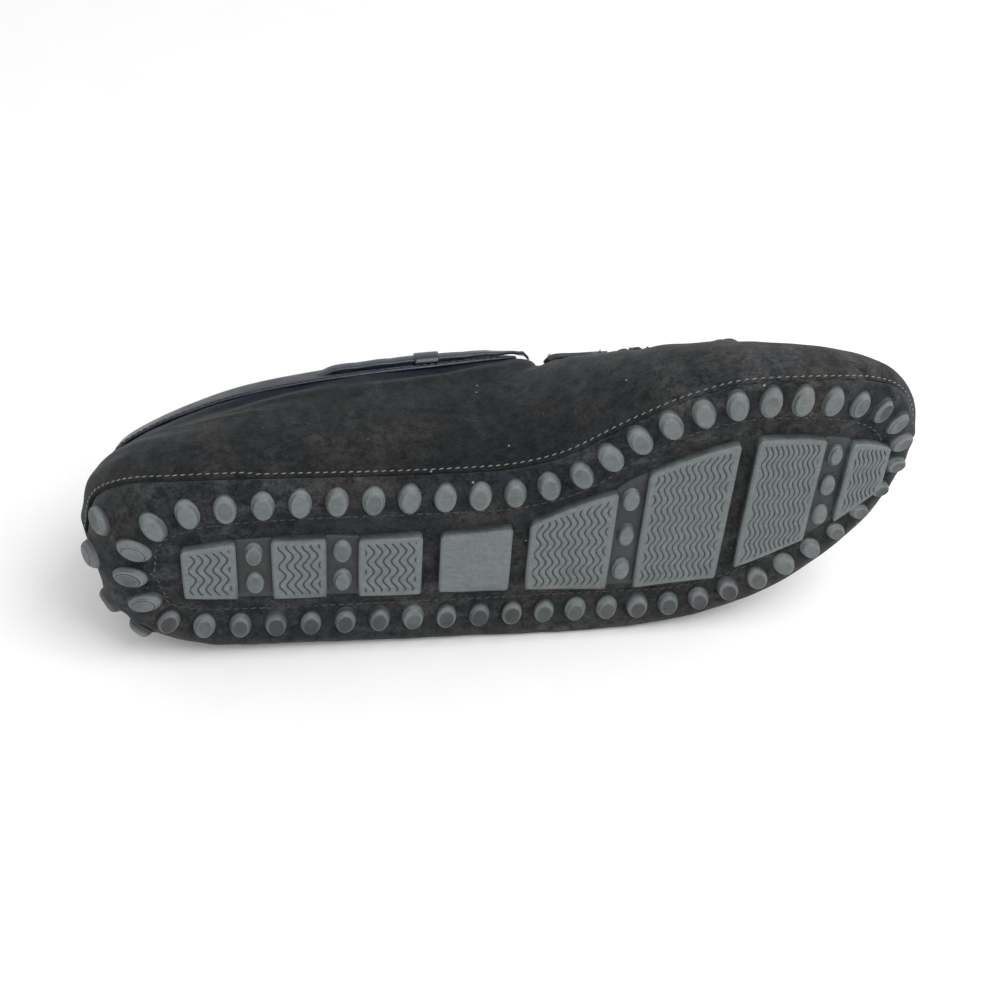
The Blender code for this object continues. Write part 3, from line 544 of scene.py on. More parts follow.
# Soft creases: side, section and rib place of each end, depth in millimetres, width in millimetres
creases = (
    (1, 9.6, 0.86, 12.4, 0.80, -0.55, 2.2), (1, 12.2, 0.84, 15.4, 0.76, -0.60, 2.4),
    (1, 13.0, 0.72, 16.0, 0.66, -0.45, 3.0), (1, 10.4, 0.66, 13.2, 0.60, -0.30, 5.0),
    (1, 8.2, 0.80, 9.7, 0.60, -0.50, 3.0), (1, 6.8, 0.96, 7.6, 0.62, -0.55, 2.6),
    (1, 5.9, 0.98, 6.6, 0.66, -0.60, 2.4), (1, 5.0, 0.97, 5.7, 0.68, -0.50, 2.4),
    (1, 4.2, 0.60, 5.4, 0.40, -0.35, 4.0), (1, 6.3, 0.58, 7.1, 0.34, -0.40, 4.0),
    (1, 14.9, 0.50, 17.2, 0.56, -0.40, 3.4), (1, 15.6, 0.32, 17.6, 0.40, -0.35, 3.6),
    (-1, 6.8, 0.96, 7.5, 0.62, -0.55, 2.6), (-1, 5.9, 0.98, 6.5, 0.66, -0.60, 2.4),
    (-1, 5.0, 0.97, 5.6, 0.68, -0.50, 2.4), (-1, 9.6, 0.86, 13.2, 0.78, -0.50, 2.6),
    (-1, 12.4, 0.64, 15.8, 0.56, -0.55, 4.0), (-1, 9.2, 0.50, 11.8, 0.40, -0.50, 5.0),
    (-1, 15.0, 0.40, 17.4, 0.48, -0.40, 3.6),
)


def creaseLines():
    lines = []
    for side, s0, t0, s1, t1, deep, wide in creases:
        steps = 9
        points = []
        for k in range(steps):
            f = k / (steps - 1)
            wander = 0.012 * math.sin(f * 7.0 + s0 * 3.1)
            points.append(ribPoint(s0 + (s1 - s0) * f, side, t0 + (t1 - t0) * f + wander))
        lines.append((points, deep / 1000, wide / 1000))
    return lines


def creaseAt(point, lines):
    total = 0.0
    for points, deep, wide in lines:
        if (point - points[4]).length > (points[0] - points[-1]).length * 0.6 + wide * 3:
            continue
        best, fade = 1.0, 0.0
        for k, (a, b) in enumerate(zip(points, points[1:])):
            edge = b - a
            f = clamp((point - a).dot(edge) / edge.length_squared)
            away = (point - a - edge * f).length
            if away < best:
                best, fade = away, math.sin(math.pi * (k + f) / (len(points) - 1))
        x = best / wide
        # a trough with a soft roll of leather on each side
        total += 1.8 * deep * fade * (math.exp(-x * x) - 0.45 * math.exp(-(x - 1.9) ** 2))
    return total


def seamRelief(s, sign, t, travel):
    form = upperForm
    if s > form["seamEnd"] + 0.8:
        return 0.0
    end = ease((form["seamEnd"] + 0.6 - s) / 1.2)
    away = (t - form["seamAt"]) / 0.030
    ridge = form["seamHeight"] * math.exp(-away * away)
    below = form["seamAt"] - t
    pleat = 0.5 + 0.5 * math.sin(2 * math.pi * travel / form["puckerPitch"] + 1.5 * math.sin(travel * 190))
    reach = ease(below / 0.03) * ease((0.17 - below) / 0.12) if below > 0 else 0.0
    notch = -0.35 * form["seamHeight"] * math.exp(-((t - form["seamAt"] - 0.045) / 0.018) ** 2)
    return end * (ridge * (0.75 + 0.5 * pleat) + notch + form["puckerDeep"] * (pleat - 0.5) * reach)


def buildUpper():
    form = upperForm
    bm, layers = ringGrid(form["columns"], form["rows"], ribPoint)
    undressed = BVHTree.FromBMesh(bm)
    travelAt = {}
    total = 0.0
    before = None
    for k in range(181):
        s = k * last["heel"] / 180
        here = ribPoint(s, 1, form["seamAt"])
        total += (here - before).length if before else 0.0
        travelAt[k] = total
        before = here
    lines = creaseLines()
    moves = []
    for vert in bm.verts:
        s, t, sign = vert[layers["alongShoe"]], vert[layers["upRib"]], vert[layers["sideSign"]]
        k = min(int(s * 10), 179)
        travel = travelAt[k] + (travelAt[k + 1] - travelAt[k]) * (s * 10 - k)
        height = seamRelief(s, sign, t, travel * sign)
        if s > form["counterFront"] - 0.4:
            rim = 0.60 + 0.02 * math.sin(s * 2.0)
            height += (form["counterStep"] * ease((s - form["counterFront"]) / 0.18)
                       * ease((rim - t) / 0.022))
        height += creaseAt(vert.co, lines)
        fall = ease(t / 0.08) * ease((1.0 - t) / 0.06 if s > last["throat"] - 0.3 else 1.0)
        height += form["lumps"] * fall * (noise.noise(vert.co * 42) * 1.6 + noise.noise(vert.co * 110) * 0.7)
        if s < 7.0:  # the vamp's outline is gathered and wavy over the toe
            share = ease((t - 0.35) / 0.2) * ease((7.0 - s) / 2)
            height += form["toeWave"] * share * noise.noise(vert.co * 70)
        moves.append((vert, vert.normal * height))
    applyMoves(moves)
    bm.normal_update()
    dressed = BVHTree.FromBMesh(bm)
    finishPiece("upperSuede", bm, [suedeUpper], ["upper"], recalc=False, wall=form["wall"])
    return undressed, dressed


lastTree, upperTree = buildUpper()
print("upper built")


# Lining: a thin shell inside the upper
liningForm = {"columns": 200, "rows": 28, "inset": 0.0026, "wall": 0.0005, "top": 0.975, "short": 0.22}


def buildLining():
    def place(s, sign, t):  # it stops short of the throat, where the tongue lies
        return ribPoint(s, sign, t * (liningForm["top"] - liningForm["short"] * ease((10.0 - s) / 1.3)))

    bm, _ = ringGrid(liningForm["columns"], liningForm["rows"], place)
    applyMoves([(vert, vert.normal * -liningForm["inset"]) for vert in bm.verts])
    bm.normal_update()
    finishPiece("lining", bm, [liningLeather], recalc=False, wall=liningForm["wall"])


buildLining()


# Sole cover: suede drawn round the edge of the bottom
soleForm = {"columns": 360, "tuck": 2, "roll": 14, "flat": 22, "wall": 0.0009, "lumps": 0.00035,
            "seatReach": 0.011, "seatSwell": 0.00055, "fold": 0.0005}


def soleRows():
    return soleForm["tuck"] + soleForm["roll"] + soleForm["flat"]


def solePlace(s, sign, v):
    row = round(v * soleRows())
    if row < soleForm["tuck"]:
        f = 1 - row / soleForm["tuck"]
        out = outward(s, sign)
        return bend(edgePoint(s, sign, 1.0, 0.0016 * f) - Vector((out.x, 0, out.y)) * (0.0011 * f))
    row -= soleForm["tuck"]
    if row <= soleForm["roll"]:
        return bend(edgePoint(s, sign, 1 - row / soleForm["roll"]))
    f = (row - soleForm["roll"]) / soleForm["flat"]
    return bend(edgePoint(s, sign, 0.0).lerp(spinePoint(s), f))


pads = {"columns": ("near", "far", "innerNear", "innerFar", "outerNear", "outerFar", "spacing", "grooved"),
        "rows": ((0.110, 0.172, 0.100, 0.124, -0.100, -0.116, 0.0027, 1),
                 (0.212, 0.275, 0.128, 0.128, -0.122, -0.125, 0.0027, 1),
                 (0.312, 0.386, 0.116, 0.118, -0.130, -0.134, 0.0027, 1),
                 (0.407, 0.491, 0.112, 0.133, -0.130, -0.139, 0.0032, 0),
                 (0.511, 0.611, 0.144, 0.262, -0.139, -0.155, 0.0024, 1),
                 (0.644, 0.746, 0.330, 0.440, -0.156, -0.131, 0.0021, 1),
                 (0.766, 0.849, 0.450, 0.432, -0.090, 0.012, 0.0018, 1),
                 (0.884, 0.941, 0.400, 0.345, 0.066, 0.176, 0.0017, 1)),
        "windows": ((0, 2), (3, 3), (4, 5), (6, 7)), "height": 0.0033, "period": 0.0090,
        "rim": 0.0021, "fine": 92, "plain": 40, "deep": 0.0005,
        "corner": 0.0016, "edge": 0.0005}
padList = [dict(zip(pads["columns"], row)) for row in pads["rows"]]

studs = {"length": 0.0112, "width": 0.0072, "count": 53, "heelPitch": 1.18, "innerSize": 0.84,
         "toeLess": 0.20,
         "between": ((0, 2), (1, 2), (4, 3), (6, 3)),
         "back": ((17.0, 1, 0.64), (18.0, 1, 0.66), (17.0, -1, 0.66), (16.1, -1, 0.62))}


def studLine():
    fine = [i * last["heel"] / 160 for i in range(161)]
    line = []
    for sign, stations in ((1, fine), (-1, fine[::-1])):
        column = section["studInner" if sign > 0 else "studOuter"]
        for s in stations[:-1]:
            out = outward(s, sign)
            line.append((footPlan(s, sign) - out * blend(column, s) * studs["length"], out))
    return line


def studPlaces():
    line = studLine()
    travel = [0.0]
    for (here, _), (there, _) in zip(line, line[1:] + line[:1]):
        share = clamp((here.x + there.x) / 2 / last["length"])
        pitch = studs["heelPitch"] + (1 - studs["heelPitch"]) * share
        travel.append(travel[-1] + (there - here).length / pitch)
    places = []
    for k in range(studs["count"]):
        goal = (travel[160] + travel[-1] * k / studs["count"]) % travel[-1]
        i = max(j for j in range(len(line)) if travel[j] <= goal)
        f = (goal - travel[i]) / (travel[i + 1] - travel[i])
        there, turned = line[(i + 1) % len(line)]
        places.append((line[i][0].lerp(there, f), line[i][1].lerp(turned, f).normalized()))
    return places


def standing(hit, axis, out):  # frame of a stud: its axis is the surface normal, x its long way
    across = axis.cross(out).normalized()
    return Matrix((across.cross(axis), across, axis)).transposed().to_4x4(), hit


def flatEdge(s, sign, v):  # the bottom before the toe spring, as the studs are set out on it
    row = round(v * 20)
    if row <= 10:
        return edgePoint(s, sign, 1 - row / 10)
    return edgePoint(s, sign, 0.0).lerp(spinePoint(s), (row - 10) / 10)


def allStuds():
    bm, _ = ringGrid(160, 20, flatEdge)
    tree = BVHTree.FromBMesh(bm)
    bm.free()
    found = []
    for plan, out in studPlaces():
        hit, normal, _, _ = tree.ray_cast(Vector((plan.x, -1, plan.y)), Vector((0, 1, 0)))
        axis = normal if normal.y < 0 else -normal
        found.append((*standing(hit, axis, Vector((out.x, 0, out.y))), studs["length"], studs["width"]))
    for pad, count in studs["between"]:
        here, there = padList[pad], padList[pad + 1]
        x = (here["far"] + there["near"]) / 2 * last["length"]
        inner = (here["innerFar"] + there["innerNear"]) / 2 * last["ballWidth"]
        outer = (here["outerFar"] + there["outerNear"]) / 2 * last["ballWidth"]
        for k in range(count):
            hit = Vector((x, last["studHeight"], outer + (inner - outer) * (k + 0.5) / count))
            found.append((*standing(hit, Vector((0, -1, 0)), Vector((0, 0, 1))),
                          studs["length"] * studs["innerSize"], studs["width"] * studs["innerSize"]))
    for s, sign, turned in studs["back"]:
        hit, normal, _, _ = tree.find_nearest(edgePoint(s, sign, turned))
        axis = normal if normal.x < 0 else -normal
        found.append((*standing(hit, axis, Vector((0, 1, 0))), studs["length"], studs["width"]))
    return found


studList = allStuds()


def bendMatrix(turn, point):  # carries a frame round the toe spring
    if point.x <= last["springStart"]:
        return Matrix.Translation(point) @ turn
    angle = (point.x - last["springStart"]) / last["springRadius"]
    return Matrix.Translation(bend(point)) @ Matrix.Rotation(angle, 4, "Z") @ turn


def buildSole():
    bm, layers = ringGrid(soleForm["columns"], soleRows(), solePlace, (0.70, 0.06))
    seats = [(bendMatrix(turn, point), length, width) for turn, point, length, width in studList]
    seats = [(seat.inverted(), seat.translation.copy(), length, width) for seat, length, width in seats]
    rollShare = (soleForm["tuck"] + soleForm["roll"]) / soleRows()
    moves = []
    for vert in bm.verts:
        t = vert[layers["upRib"]]
        rough = noise.noise(vert.co * 60) + 0.5 * noise.noise(vert.co * 160)
        height = soleForm["lumps"] * ease(t / 0.2) * rough
        for inverse, middle, length, width in seats:
            if (vert.co - middle).length < soleForm["seatReach"]:
                local = inverse @ vert.co
                ring = math.hypot(local.x / (length / 2), local.y / (width / 2))
                height += soleForm["seatSwell"] * math.exp(-((ring - 1.12) / 0.22) ** 2)
        height -= soleForm["fold"] * math.exp(-((t - rollShare * 0.10) / 0.015) ** 2)
        moves.append((vert, vert.normal * height))
    applyMoves(moves)
    finishPiece("soleSuede", bm, [suedeSole], ["sole_cover"], recalc=False, wall=soleForm["wall"])


buildSole()
print("sole cover built")


# Studs
# share of the plan size, rise in millimetres, and how clean and how lit the rubber is: the dark low flank is
# painted shade and the light ring near the top of the flank a painted highlight
studProfile = ((1.16, -0.6, 0.0), (1.12, 0.1, 0.1), (1.08, 0.7, 0.45), (1.03, 1.4, 0.75), (0.96, 2.0, 0.95),
               (0.87, 2.5, 1.15), (0.78, 2.85, 1.2), (0.70, 2.98, 0.8), (0.60, 3.0, 0.65))


def addStud(bm, wearAndLight, matrix, length, width, seed, dirtAndShade):
    # an oval post drawn up ring by ring, its top worn flat and a little aslant
    made = bmesh.ops.create_circle(bm, cap_ends=True, segments=20, radius=1.0)
    ring = made["verts"]
    slant = Vector((roughAt(seed, 0.3, 0.1) * 0.06 - 0.03, roughAt(seed, 5.3, 2.1) * 0.03, 0))
    face = ring[0].link_faces[0]
    everyVert = list(ring)
    level = studProfile[0]
    for vert in ring:
        vert.co = Vector((vert.co.x * length / 2 * level[0], vert.co.y * width / 2 * level[0],
                          level[1] / 1000))
    for before, level in zip(studProfile, studProfile[1:]):
        made = bmesh.ops.extrude_face_region(bm, geom=[face])
        face = next(g for g in made["geom"] if isinstance(g, bmesh.types.BMFace))
        ring = [g for g in made["geom"] if isinstance(g, bmesh.types.BMVert)]
        grow = level[0] / before[0]
        shift = slant * (level[1] / 3) ** 2 * length
        for vert in ring:
            vert.co.x = vert.co.x * grow - shift.x * 0.35
            vert.co.y = vert.co.y * grow + shift.y * 0.35
            vert.co.z = level[1] / 1000 + vert.co.x * slant.x * max(0.0, level[1] / 3) * 1.2
            # rubber colour of this ring: painted shade low on the flank and a painted highlight near its top,
            # less the stud's own darkening
            vert[wearAndLight] = level[2] - dirtAndShade
        everyVert += ring
    bmesh.ops.transform(bm, matrix=matrix, verts=everyVert)


def buildStuds():
    bm = bmesh.new()
    wearAndLight = bm.verts.layers.float.new("wearAndLight")
    for seed, (turn, point, length, width) in enumerate(studList):
        small = 1 - studs["toeLess"] * ease((point.x / last["length"] - 0.80) / 0.12)
        # studs darker towards the outer side and the toe, and darker or lighter at random, stud by stud
        dirtAndShade = 0.38 * ease((-0.012 - point.z) / 0.012) + 0.2 * ease((point.x / last["length"] - 0.85) / 0.1)
        dirtAndShade += 0.25 * roughAt(seed * 2.3, 7.7)
        addStud(bm, wearAndLight, bendMatrix(turn, point), length * small, width * small, seed * 1.7, dirtAndShade)
    finishPiece("studs", bm, [studRubber], ["rubber_unit"])


buildStuds()


# Pads
def padPoint(pad, u, v, level):
    # u along the shoe, v across it; the corners are rounded in plan
    near, far = pad["near"] * last["length"], pad["far"] * last["length"]
    wide = ((pad["innerNear"] - pad["outerNear"]) + (pad["innerFar"] - pad["outerFar"])) / 2
    size = (far - near, wide * last["ballWidth"])
    spot = [u * size[0], v * size[1]]
    r = pads["corner"]
    away = [r - min(spot[k], size[k] - spot[k]) for k in (0, 1)]
    if min(away) > 0:
        long = math.hypot(*away)
        if long > r:
            for k in (0, 1):
                pull = away[k] * r / long
                spot[k] = r - pull if spot[k] < size[k] / 2 else size[k] - r + pull
    u, v = spot[0] / size[0], spot[1] / size[1]
    inner = pad["innerNear"] + (pad["innerFar"] - pad["innerNear"]) * u
    outer = pad["outerNear"] + (pad["outerFar"] - pad["outerNear"]) * u
    bow = 0.010 * math.sin(math.pi * u) if pad["far"] > 0.6 else 0.0
    side = (outer + (inner + bow - outer) * v) * last["ballWidth"]
    rim = min(min(spot[0], size[0] - spot[0]), min(spot[1], size[1] - spot[1]))
    drop = pads["edge"] * (1 - ease(rim / 0.0009)) ** 2
    return Vector((near + (far - near) * u, last["studHeight"] - level + drop, side)), rim


def buildPads():
    whole = bmesh.new()
    for pad in padList:
        bm = bmesh.new()
        wearAndLight, field = bm.verts.layers.float.new("wearAndLight"), bm.verts.layers.float.new("field")
        uv = bm.loops.layers.uv.new("UVMap")
        fineness = pads["fine"] if pad["grooved"] else pads["plain"]
        bmesh.ops.create_grid(bm, x_segments=fineness, y_segments=fineness, size=0.5)
        spots = {}
        for vert in bm.verts:  # closer rows near the rim
            u, v = (clamp(0.5 + 0.5 * math.sin(math.pi * k) * 0.5 + 0.5 * k) for k in (vert.co.x, vert.co.y))
            point, rim = padPoint(pad, u, v, pads["height"])
            point.y += 0.00025 * noise.noise(point * 90)
            spots[vert] = (point.x / pad["spacing"], point.z / pads["period"])
            vert[field] = ease((rim - pads["rim"] + 0.0004) / 0.0008) * pad["grooved"]
            across = (spots[vert][0] + grooveWave * math.sin(2 * math.pi * spots[vert][1])) % 1.0
            point.y += pads["deep"] * vert[field] * (1 - ease((min(across, 1 - across) - 0.05) / 0.15))
            # paler inside each pad, darker at its rim and towards the outer side
            vert[wearAndLight] = 0.62 + 0.30 * ease(rim / 0.0012) - 0.35 * (point.z < -0.002) * ease(-point.z / 0.02)
            vert.co = point
        for face in bm.faces:
            for loop in face.loops:
                loop[uv].uv = spots[loop.vert]
        made = bmesh.ops.extrude_edge_only(bm, edges=[edge for edge in bm.edges if edge.is_boundary])
        for vert in (g for g in made["geom"] if isinstance(g, bmesh.types.BMVert)):
            vert.co.y = last["studHeight"] + 0.0006
            # the side walls take the darkest rubber colour: dirt and painted shade, as on the stud flanks
            vert[wearAndLight] = 0.0
        capHoles(bm)
        for vert in bm.verts:
            vert.co = bend(vert.co)
        bmesh.ops.recalc_face_normals(bm, faces=bm.faces)
        joinInto(whole, bm)
    piece = finishPiece("pads", whole, [padRubber])
    piece.data.set_sharp_from_angle(angle=math.radians(50))


buildPads()


# Webs of rubber between the pads of a window
webs = {"columns": 14, "rows": 30, "overlap": 0.004, "rise": 0.0007, "thick": 0.0012}


def buildWebs():
    whole = bmesh.new()
    for first, end in pads["windows"]:
        for k in range(first, end):
            here, there = padList[k], padList[k + 1]
            span = {"near": here["far"] - webs["overlap"], "far": there["near"] + webs["overlap"]}
            for side in ("inner", "outer"):
                span[side + "Near"], span[side + "Far"] = here[side + "Far"], there[side + "Near"]
            bm = bmesh.new()
            wearAndLight = bm.verts.layers.float.new("wearAndLight")
            bmesh.ops.create_grid(bm, x_segments=webs["columns"], y_segments=webs["rows"], size=0.5)
            for vert in bm.verts:
                u, v = vert.co.x + 0.5, vert.co.y + 0.5
                vert.co = padPoint(span, u, v, webs["rise"])[0]
                vert.co.y -= 0.0002 * noise.noise(vert.co * 150)
                vert[wearAndLight] = -0.25 if here["far"] < 0.5 else 0.12
                vert.co = bend(vert.co)
            bmesh.ops.solidify(bm, geom=bm.faces[:], thickness=webs["thick"])
            joinInto(whole, bm)
    finishPiece("padWebs", whole, [studRubber])


buildWebs()
print("tread built")


# Stitching
# pitch, length, width and lean of each run's stitches
stitches = {"edge": (0.0027, 0.0018, 0.0005, 0.22), "tread": (0.0030, 0.0021, 0.0006, 0.1),
            "seam": (upperForm["puckerPitch"], 0.0022, 0.0006, 2.2), "binding": (0.0026, 0.0018, 0.0005, 0.0),
            "strap": (0.0029, 0.0021, 0.0006, 0.0)}
# the edge run's place up the ribs, and how far the tread run lies inside the studs
stitchRows = {"edge": 0.022, "inside": 0.0072}


def addStitches(bm, run, pitch, length, width, lean):
    # one small bead of thread every pitch along a run of points and normals
    travel = [0.0]
    for (a, _), (b, _) in zip(run, run[1:]):
        travel.append(travel[-1] + (b - a).length)
    i = 0
    for k in range(int(travel[-1] / pitch)):
        goal = (k + 0.5) * pitch
        while travel[i + 1] < goal:
            i += 1
        f = (goal - travel[i]) / (travel[i + 1] - travel[i])
        (here, normal), (there, turned) = run[i], run[i + 1]
        normal = normal.lerp(turned, f).normalized()
        across = normal.cross((there - here).normalized()).normalized()
        along = (across.cross(normal) + across * (lean + 0.12 * roughAt(k * 3.7, 1.1))).normalized()
        turn = Matrix((along, normal.cross(along).normalized(), normal)).transposed().to_4x4()
        size = Matrix.Diagonal((length / 2, width / 2, width / 2, 1)) @ Matrix.Rotation(math.pi / 2, 4, "Y")
        bmesh.ops.create_uvsphere(bm, u_segments=6, v_segments=4, radius=1.0,
                                  matrix=Matrix.Translation(here.lerp(there, f)) @ turn @ size)


def sew(name, thread, runs, kind):
    bm = bmesh.new()
    for run in runs:
        addStitches(bm, run, *stitches[kind])
    finishPiece(name, bm, [thread], recalc=False)


def ringLine(placeAt, steps=360):
    return [placeAt(last["heel"] * (k / steps if sign > 0 else 1 - k / steps), sign)
            for sign in (1, -1) for k in range(steps)]


def edgeStitch(s, sign):
    point, normal, _ = wallFrame(s, sign, stitchRows["edge"])
    return upperTree.find_nearest(point)[0] + normal * 0.00008, normal


def innerStitch(s, sign):
    column = section["studInner" if sign > 0 else "studOuter"]
    inside = blend(column, s) * studs["length"] + stitchRows["inside"]
    plan = footPlan(s, sign) - outward(s, sign) * inside
    return bend(Vector((plan.x, last["studHeight"] - 0.0002, plan.y))), Vector((0, -1, 0))


def seamStitch(k):
    point, normal, _ = wallFrame(abs(k) / 20, 1 if k >= 0 else -1, upperForm["seamAt"])
    return upperTree.find_nearest(point + normal * upperForm["seamHeight"])[0], normal


sew("edgeStitches", paleThread, [ringLine(edgeStitch)], "edge")
sew("treadStitches", darkThread, [ringLine(innerStitch)], "tread")
sew("seamStitches", darkThread, [[seamStitch(k) for k in range(-130, 131)]], "seam")
print("stitches sewn")


# Collar binding, laces, keepers
binding = {"from": 9.5, "flapRow": 0.87, "outer": 0.0014, "inner": 0.0034, "over": 0.0019, "columns": 200,
           "rows": 21, "sewnFrom": 9.7, "sewnRow": 0.885}


def collarRoute(u, first):
    # u 0 to 1: inner side from first back past the heel, then the outer side forward
    span = last["heel"] - first
    return (first + span * u * 2, 1) if u <= 0.5 else (last["heel"] - span * (u - 0.5) * 2, -1)


def bindingPlace(u, v):
    s, sign = collarRoute(u, binding["from"])
    rim, normal, _ = wallFrame(s, sign, 1.0)
    foot, footNormal, _ = wallFrame(s, sign, binding["flapRow"])
    up = (rim - foot).normalized()
    outer, inner, over = binding["outer"], binding["inner"], binding["over"]
    swell = 1 + 0.10 * noise.noise(rim * 160)
    loop = ((-1.0, 0.00005), (-1.0, outer * 0.55), (-0.93, outer * 0.92), (-0.6, outer * swell),
            (-0.3, outer * swell), (-0.05, outer), (0.12, outer * 0.75), (0.22, outer * 0.1),
            (0.27, -0.0010), (0.22, -0.0021), (0.12, -inner * 0.86), (-0.05, -inner), (-0.5, -inner),
            (-0.93, -inner * 0.96), (-1.0, -inner * 0.85), (-1.0, -0.0024), (-0.5, -0.0024),
            (-0.02, -0.0022), (0.02, -0.0010), (-0.02, 0.00005), (-0.5, 0.00005))
    place = v * len(loop)
    i = int(place) % len(loop)
    f = place - int(place)
    a, b = loop[i], loop[(i + 1) % len(loop)]
    rise, away = a[0] + (b[0] - a[0]) * f, a[1] + (b[1] - a[1]) * f
    if rise > 0:
        return rim + up * rise * over / 0.27 + normal * away
    share = -rise
    return rim.lerp(foot, share) + normal.lerp(footNormal, share).normalized() * away


def bindingStitch(u):
    point, normal, _ = wallFrame(*collarRoute(u, binding["sewnFrom"]), binding["sewnRow"])
    return point + normal * (binding["outer"] * 0.94), normal


def buildBinding():
    bm = tubeGrid(binding["columns"], binding["rows"], bindingPlace, (0.36, 0.02))
    smoothPiece(finishPiece("collarBinding", bm, [collarLeather], ["collar_binding"]))
    run = [bindingStitch(k / 160) for k in range(161)]
    sew("bindingStitches", darkThread, [run], "binding")


buildBinding()

laces = {"from": 9.15, "to": 12.9, "row": 0.955, "width": 0.0042, "thick": 0.0012, "keeper": 11.05,
         "keeperHalf": 0.19}


def bandPlace(s, sign, across, level, half):
    point, normal, up = wallFrame(s, sign, laces["row"])
    return point + normal * (binding["outer"] + 0.0001 + level) + up * across * half


# Sections of a lace and of its keeper: share of half the lace's width, and height off the binding
laceLoop = ((-1.0, 0.15), (-1.0, 0.7), (-0.85, 0.95), (-0.4, 1.05), (0.4, 1.05), (0.85, 0.95), (1.0, 0.7),
            (1.0, 0.15), (0.8, 0.0), (-0.8, 0.0))
keeperLoop = ((-1.75, 0.0), (-1.72, 0.7), (-1.4, 1.7), (-0.9, 2.3), (0.9, 2.3), (1.4, 1.7), (1.72, 0.7),
              (1.75, 0.0), (1.2, 0.0), (1.1, 0.9), (0.85, 1.35), (-0.85, 1.35), (-1.1, 0.9), (-1.2, 0.0))


def lacePlace(u, v, sign):
    s = laces["from"] + (laces["to"] - laces["from"]) * u
    across, level = laceLoop[round(v * len(laceLoop)) % len(laceLoop)]
    ripple = 0.00022 * math.sin(u * 23 + sign) + 0.0002 * roughAt(u * 14, sign)
    # the ends run into the collar
    sunk = 0.0022 * ease((u - 0.86) / 0.14) + 0.0012 * ease((0.05 - u) / 0.05)
    return bandPlace(s, sign, across + ripple * 120, level * laces["thick"] + abs(ripple) - sunk,
                     laces["width"] / 2)


def keeperPlace(u, v, sign):
    s = laces["keeper"] + (u - 0.5) * 2 * laces["keeperHalf"]
    across, level = keeperLoop[round(v * len(keeperLoop)) % len(keeperLoop)]
    return bandPlace(s, sign, across, level / 1000, laces["width"] / 2)


def buildLaces(side, sign):
    bm = tubeGrid(90, len(laceLoop), lambda u, v: lacePlace(u, v, sign), (0.09, 0.01))
    finishPiece("lace_" + side, bm, [laceLeather], ["collar_lace_" + side])
    bm = tubeGrid(12, len(keeperLoop), lambda u, v: keeperPlace(u, v, sign), (0.01, 0.02))
    smoothPiece(finishPiece("laceKeeper_" + side, bm, [collarLeather], ["lace_keeper_" + side]))


buildLaces("inner", 1)
buildLaces("outer", -1)
print("collar trimmed")


# Saddle strap over the instep
strap = {"back": 7.95, "front": 6.70, "end": 0.66, "thick": 0.0019, "off": 0.0006, "sewn": (0.09, 0.91)}


def strapPlace(u, v):
    # u across the instep from the inner end to the outer one, v from the front edge back
    t = strap["end"] + (1 - strap["end"]) * (1 - abs(2 * u - 1))
    sign = 1 if u <= 0.5 else -1
    ragged = 0.05 * roughAt(u * 30, v * 3, 0.5)
    s = strap["front"] + (strap["back"] - strap["front"]) * v + ragged * (1 if v in (0.0, 1.0) else 0)
    point, normal, _ = wallFrame(s, sign, t)
    if abs(u - 0.5) < 1e-6:
        normal = (normal + wallFrame(s, -sign, t)[1]).normalized()
    edge = min(v, 1 - v, u * 2, (1 - u) * 2)
    puff = 0.0004 * math.sin(math.pi * v) - 0.0006 * (1 - ease(edge / 0.08))
    return point + normal * (strap["off"] + strap["thick"] + puff + 0.0003 * noise.noise(point * 130))


def buildSheet(name, node, columns, rows, place, uvSize, thick):  # thick suede with a raw edge
    bm = sheetGrid(columns, rows, place, uvSize)
    faceOutwards(bm, 1)
    finishPiece(name, bm, [suedeStrap, rawEdge], [node], recalc=False, wall=thick, rimMaterial=1)


def strapStitch(u, v):
    point = strapPlace(u, v)
    return point, (point - ribPoint(7.3, 1 if u < 0.5 else -1, 0.4)).normalized()


buildSheet("saddleStrap", "saddle_strap", 96, 26, strapPlace, (0.09, 0.03), strap["thick"])
strapRuns = [[strapStitch(0.02 + 0.96 * k / 120, v) for k in range(121)] for v in strap["sewn"]]
sew("strapStitches", paleThread, strapRuns, "strap")


# Tongue
tongueForm = {"long": 0.036, "wide": 0.038, "thick": 0.0022, "tucked": 0.4, "under": 0.0026, "flat": 0.18,
              "slope": 0.55}


def tonguePlace(u, v):
    form = tongueForm
    throat = topPoint(last["throat"], 1)
    tucked = form["long"] * form["tucked"]
    reach = -tucked + form["long"] * v
    past = max(0.0, reach) / (form["long"] - tucked)
    tip = max(0.0, 1 - max(0.0, (past - 0.55) / 0.45) ** 2.4)
    side = throat.z + (u - 0.5) * form["wide"] * (1.0 - 0.16 * past) * math.sqrt(tip * 0.92 + 0.08)
    x = throat.x - reach
    above = Vector((max(x, throat.x + tucked * 0.1), 1, side))
    hit, normal, _, _ = lastTree.ray_cast(above, Vector((0, -1, 0)))
    rise = hit.y - form["under"] / abs(normal.y)
    rise += max(0.0, reach - form["long"] * form["flat"]) * form["slope"]
    return Vector((x, rise + 0.0003 * roughAt(x * 90, side * 90), side))


buildSheet("tongueSuede", "tongue", 40, 44, tonguePlace, (0.038, 0.036), tongueForm["thick"])


# Insole
insole = {"columns": 160, "rows": 14, "rise": 0.0059, "lip": 0.0008, "thick": 0.0022}


def insolePlace(s, sign, v):
    point = edgePoint(s, sign, 0.0).lerp(spinePoint(s), v)
    point.y += insole["rise"] + insole["lip"] * (1 - ease(v / 0.25))
    return bend(point)


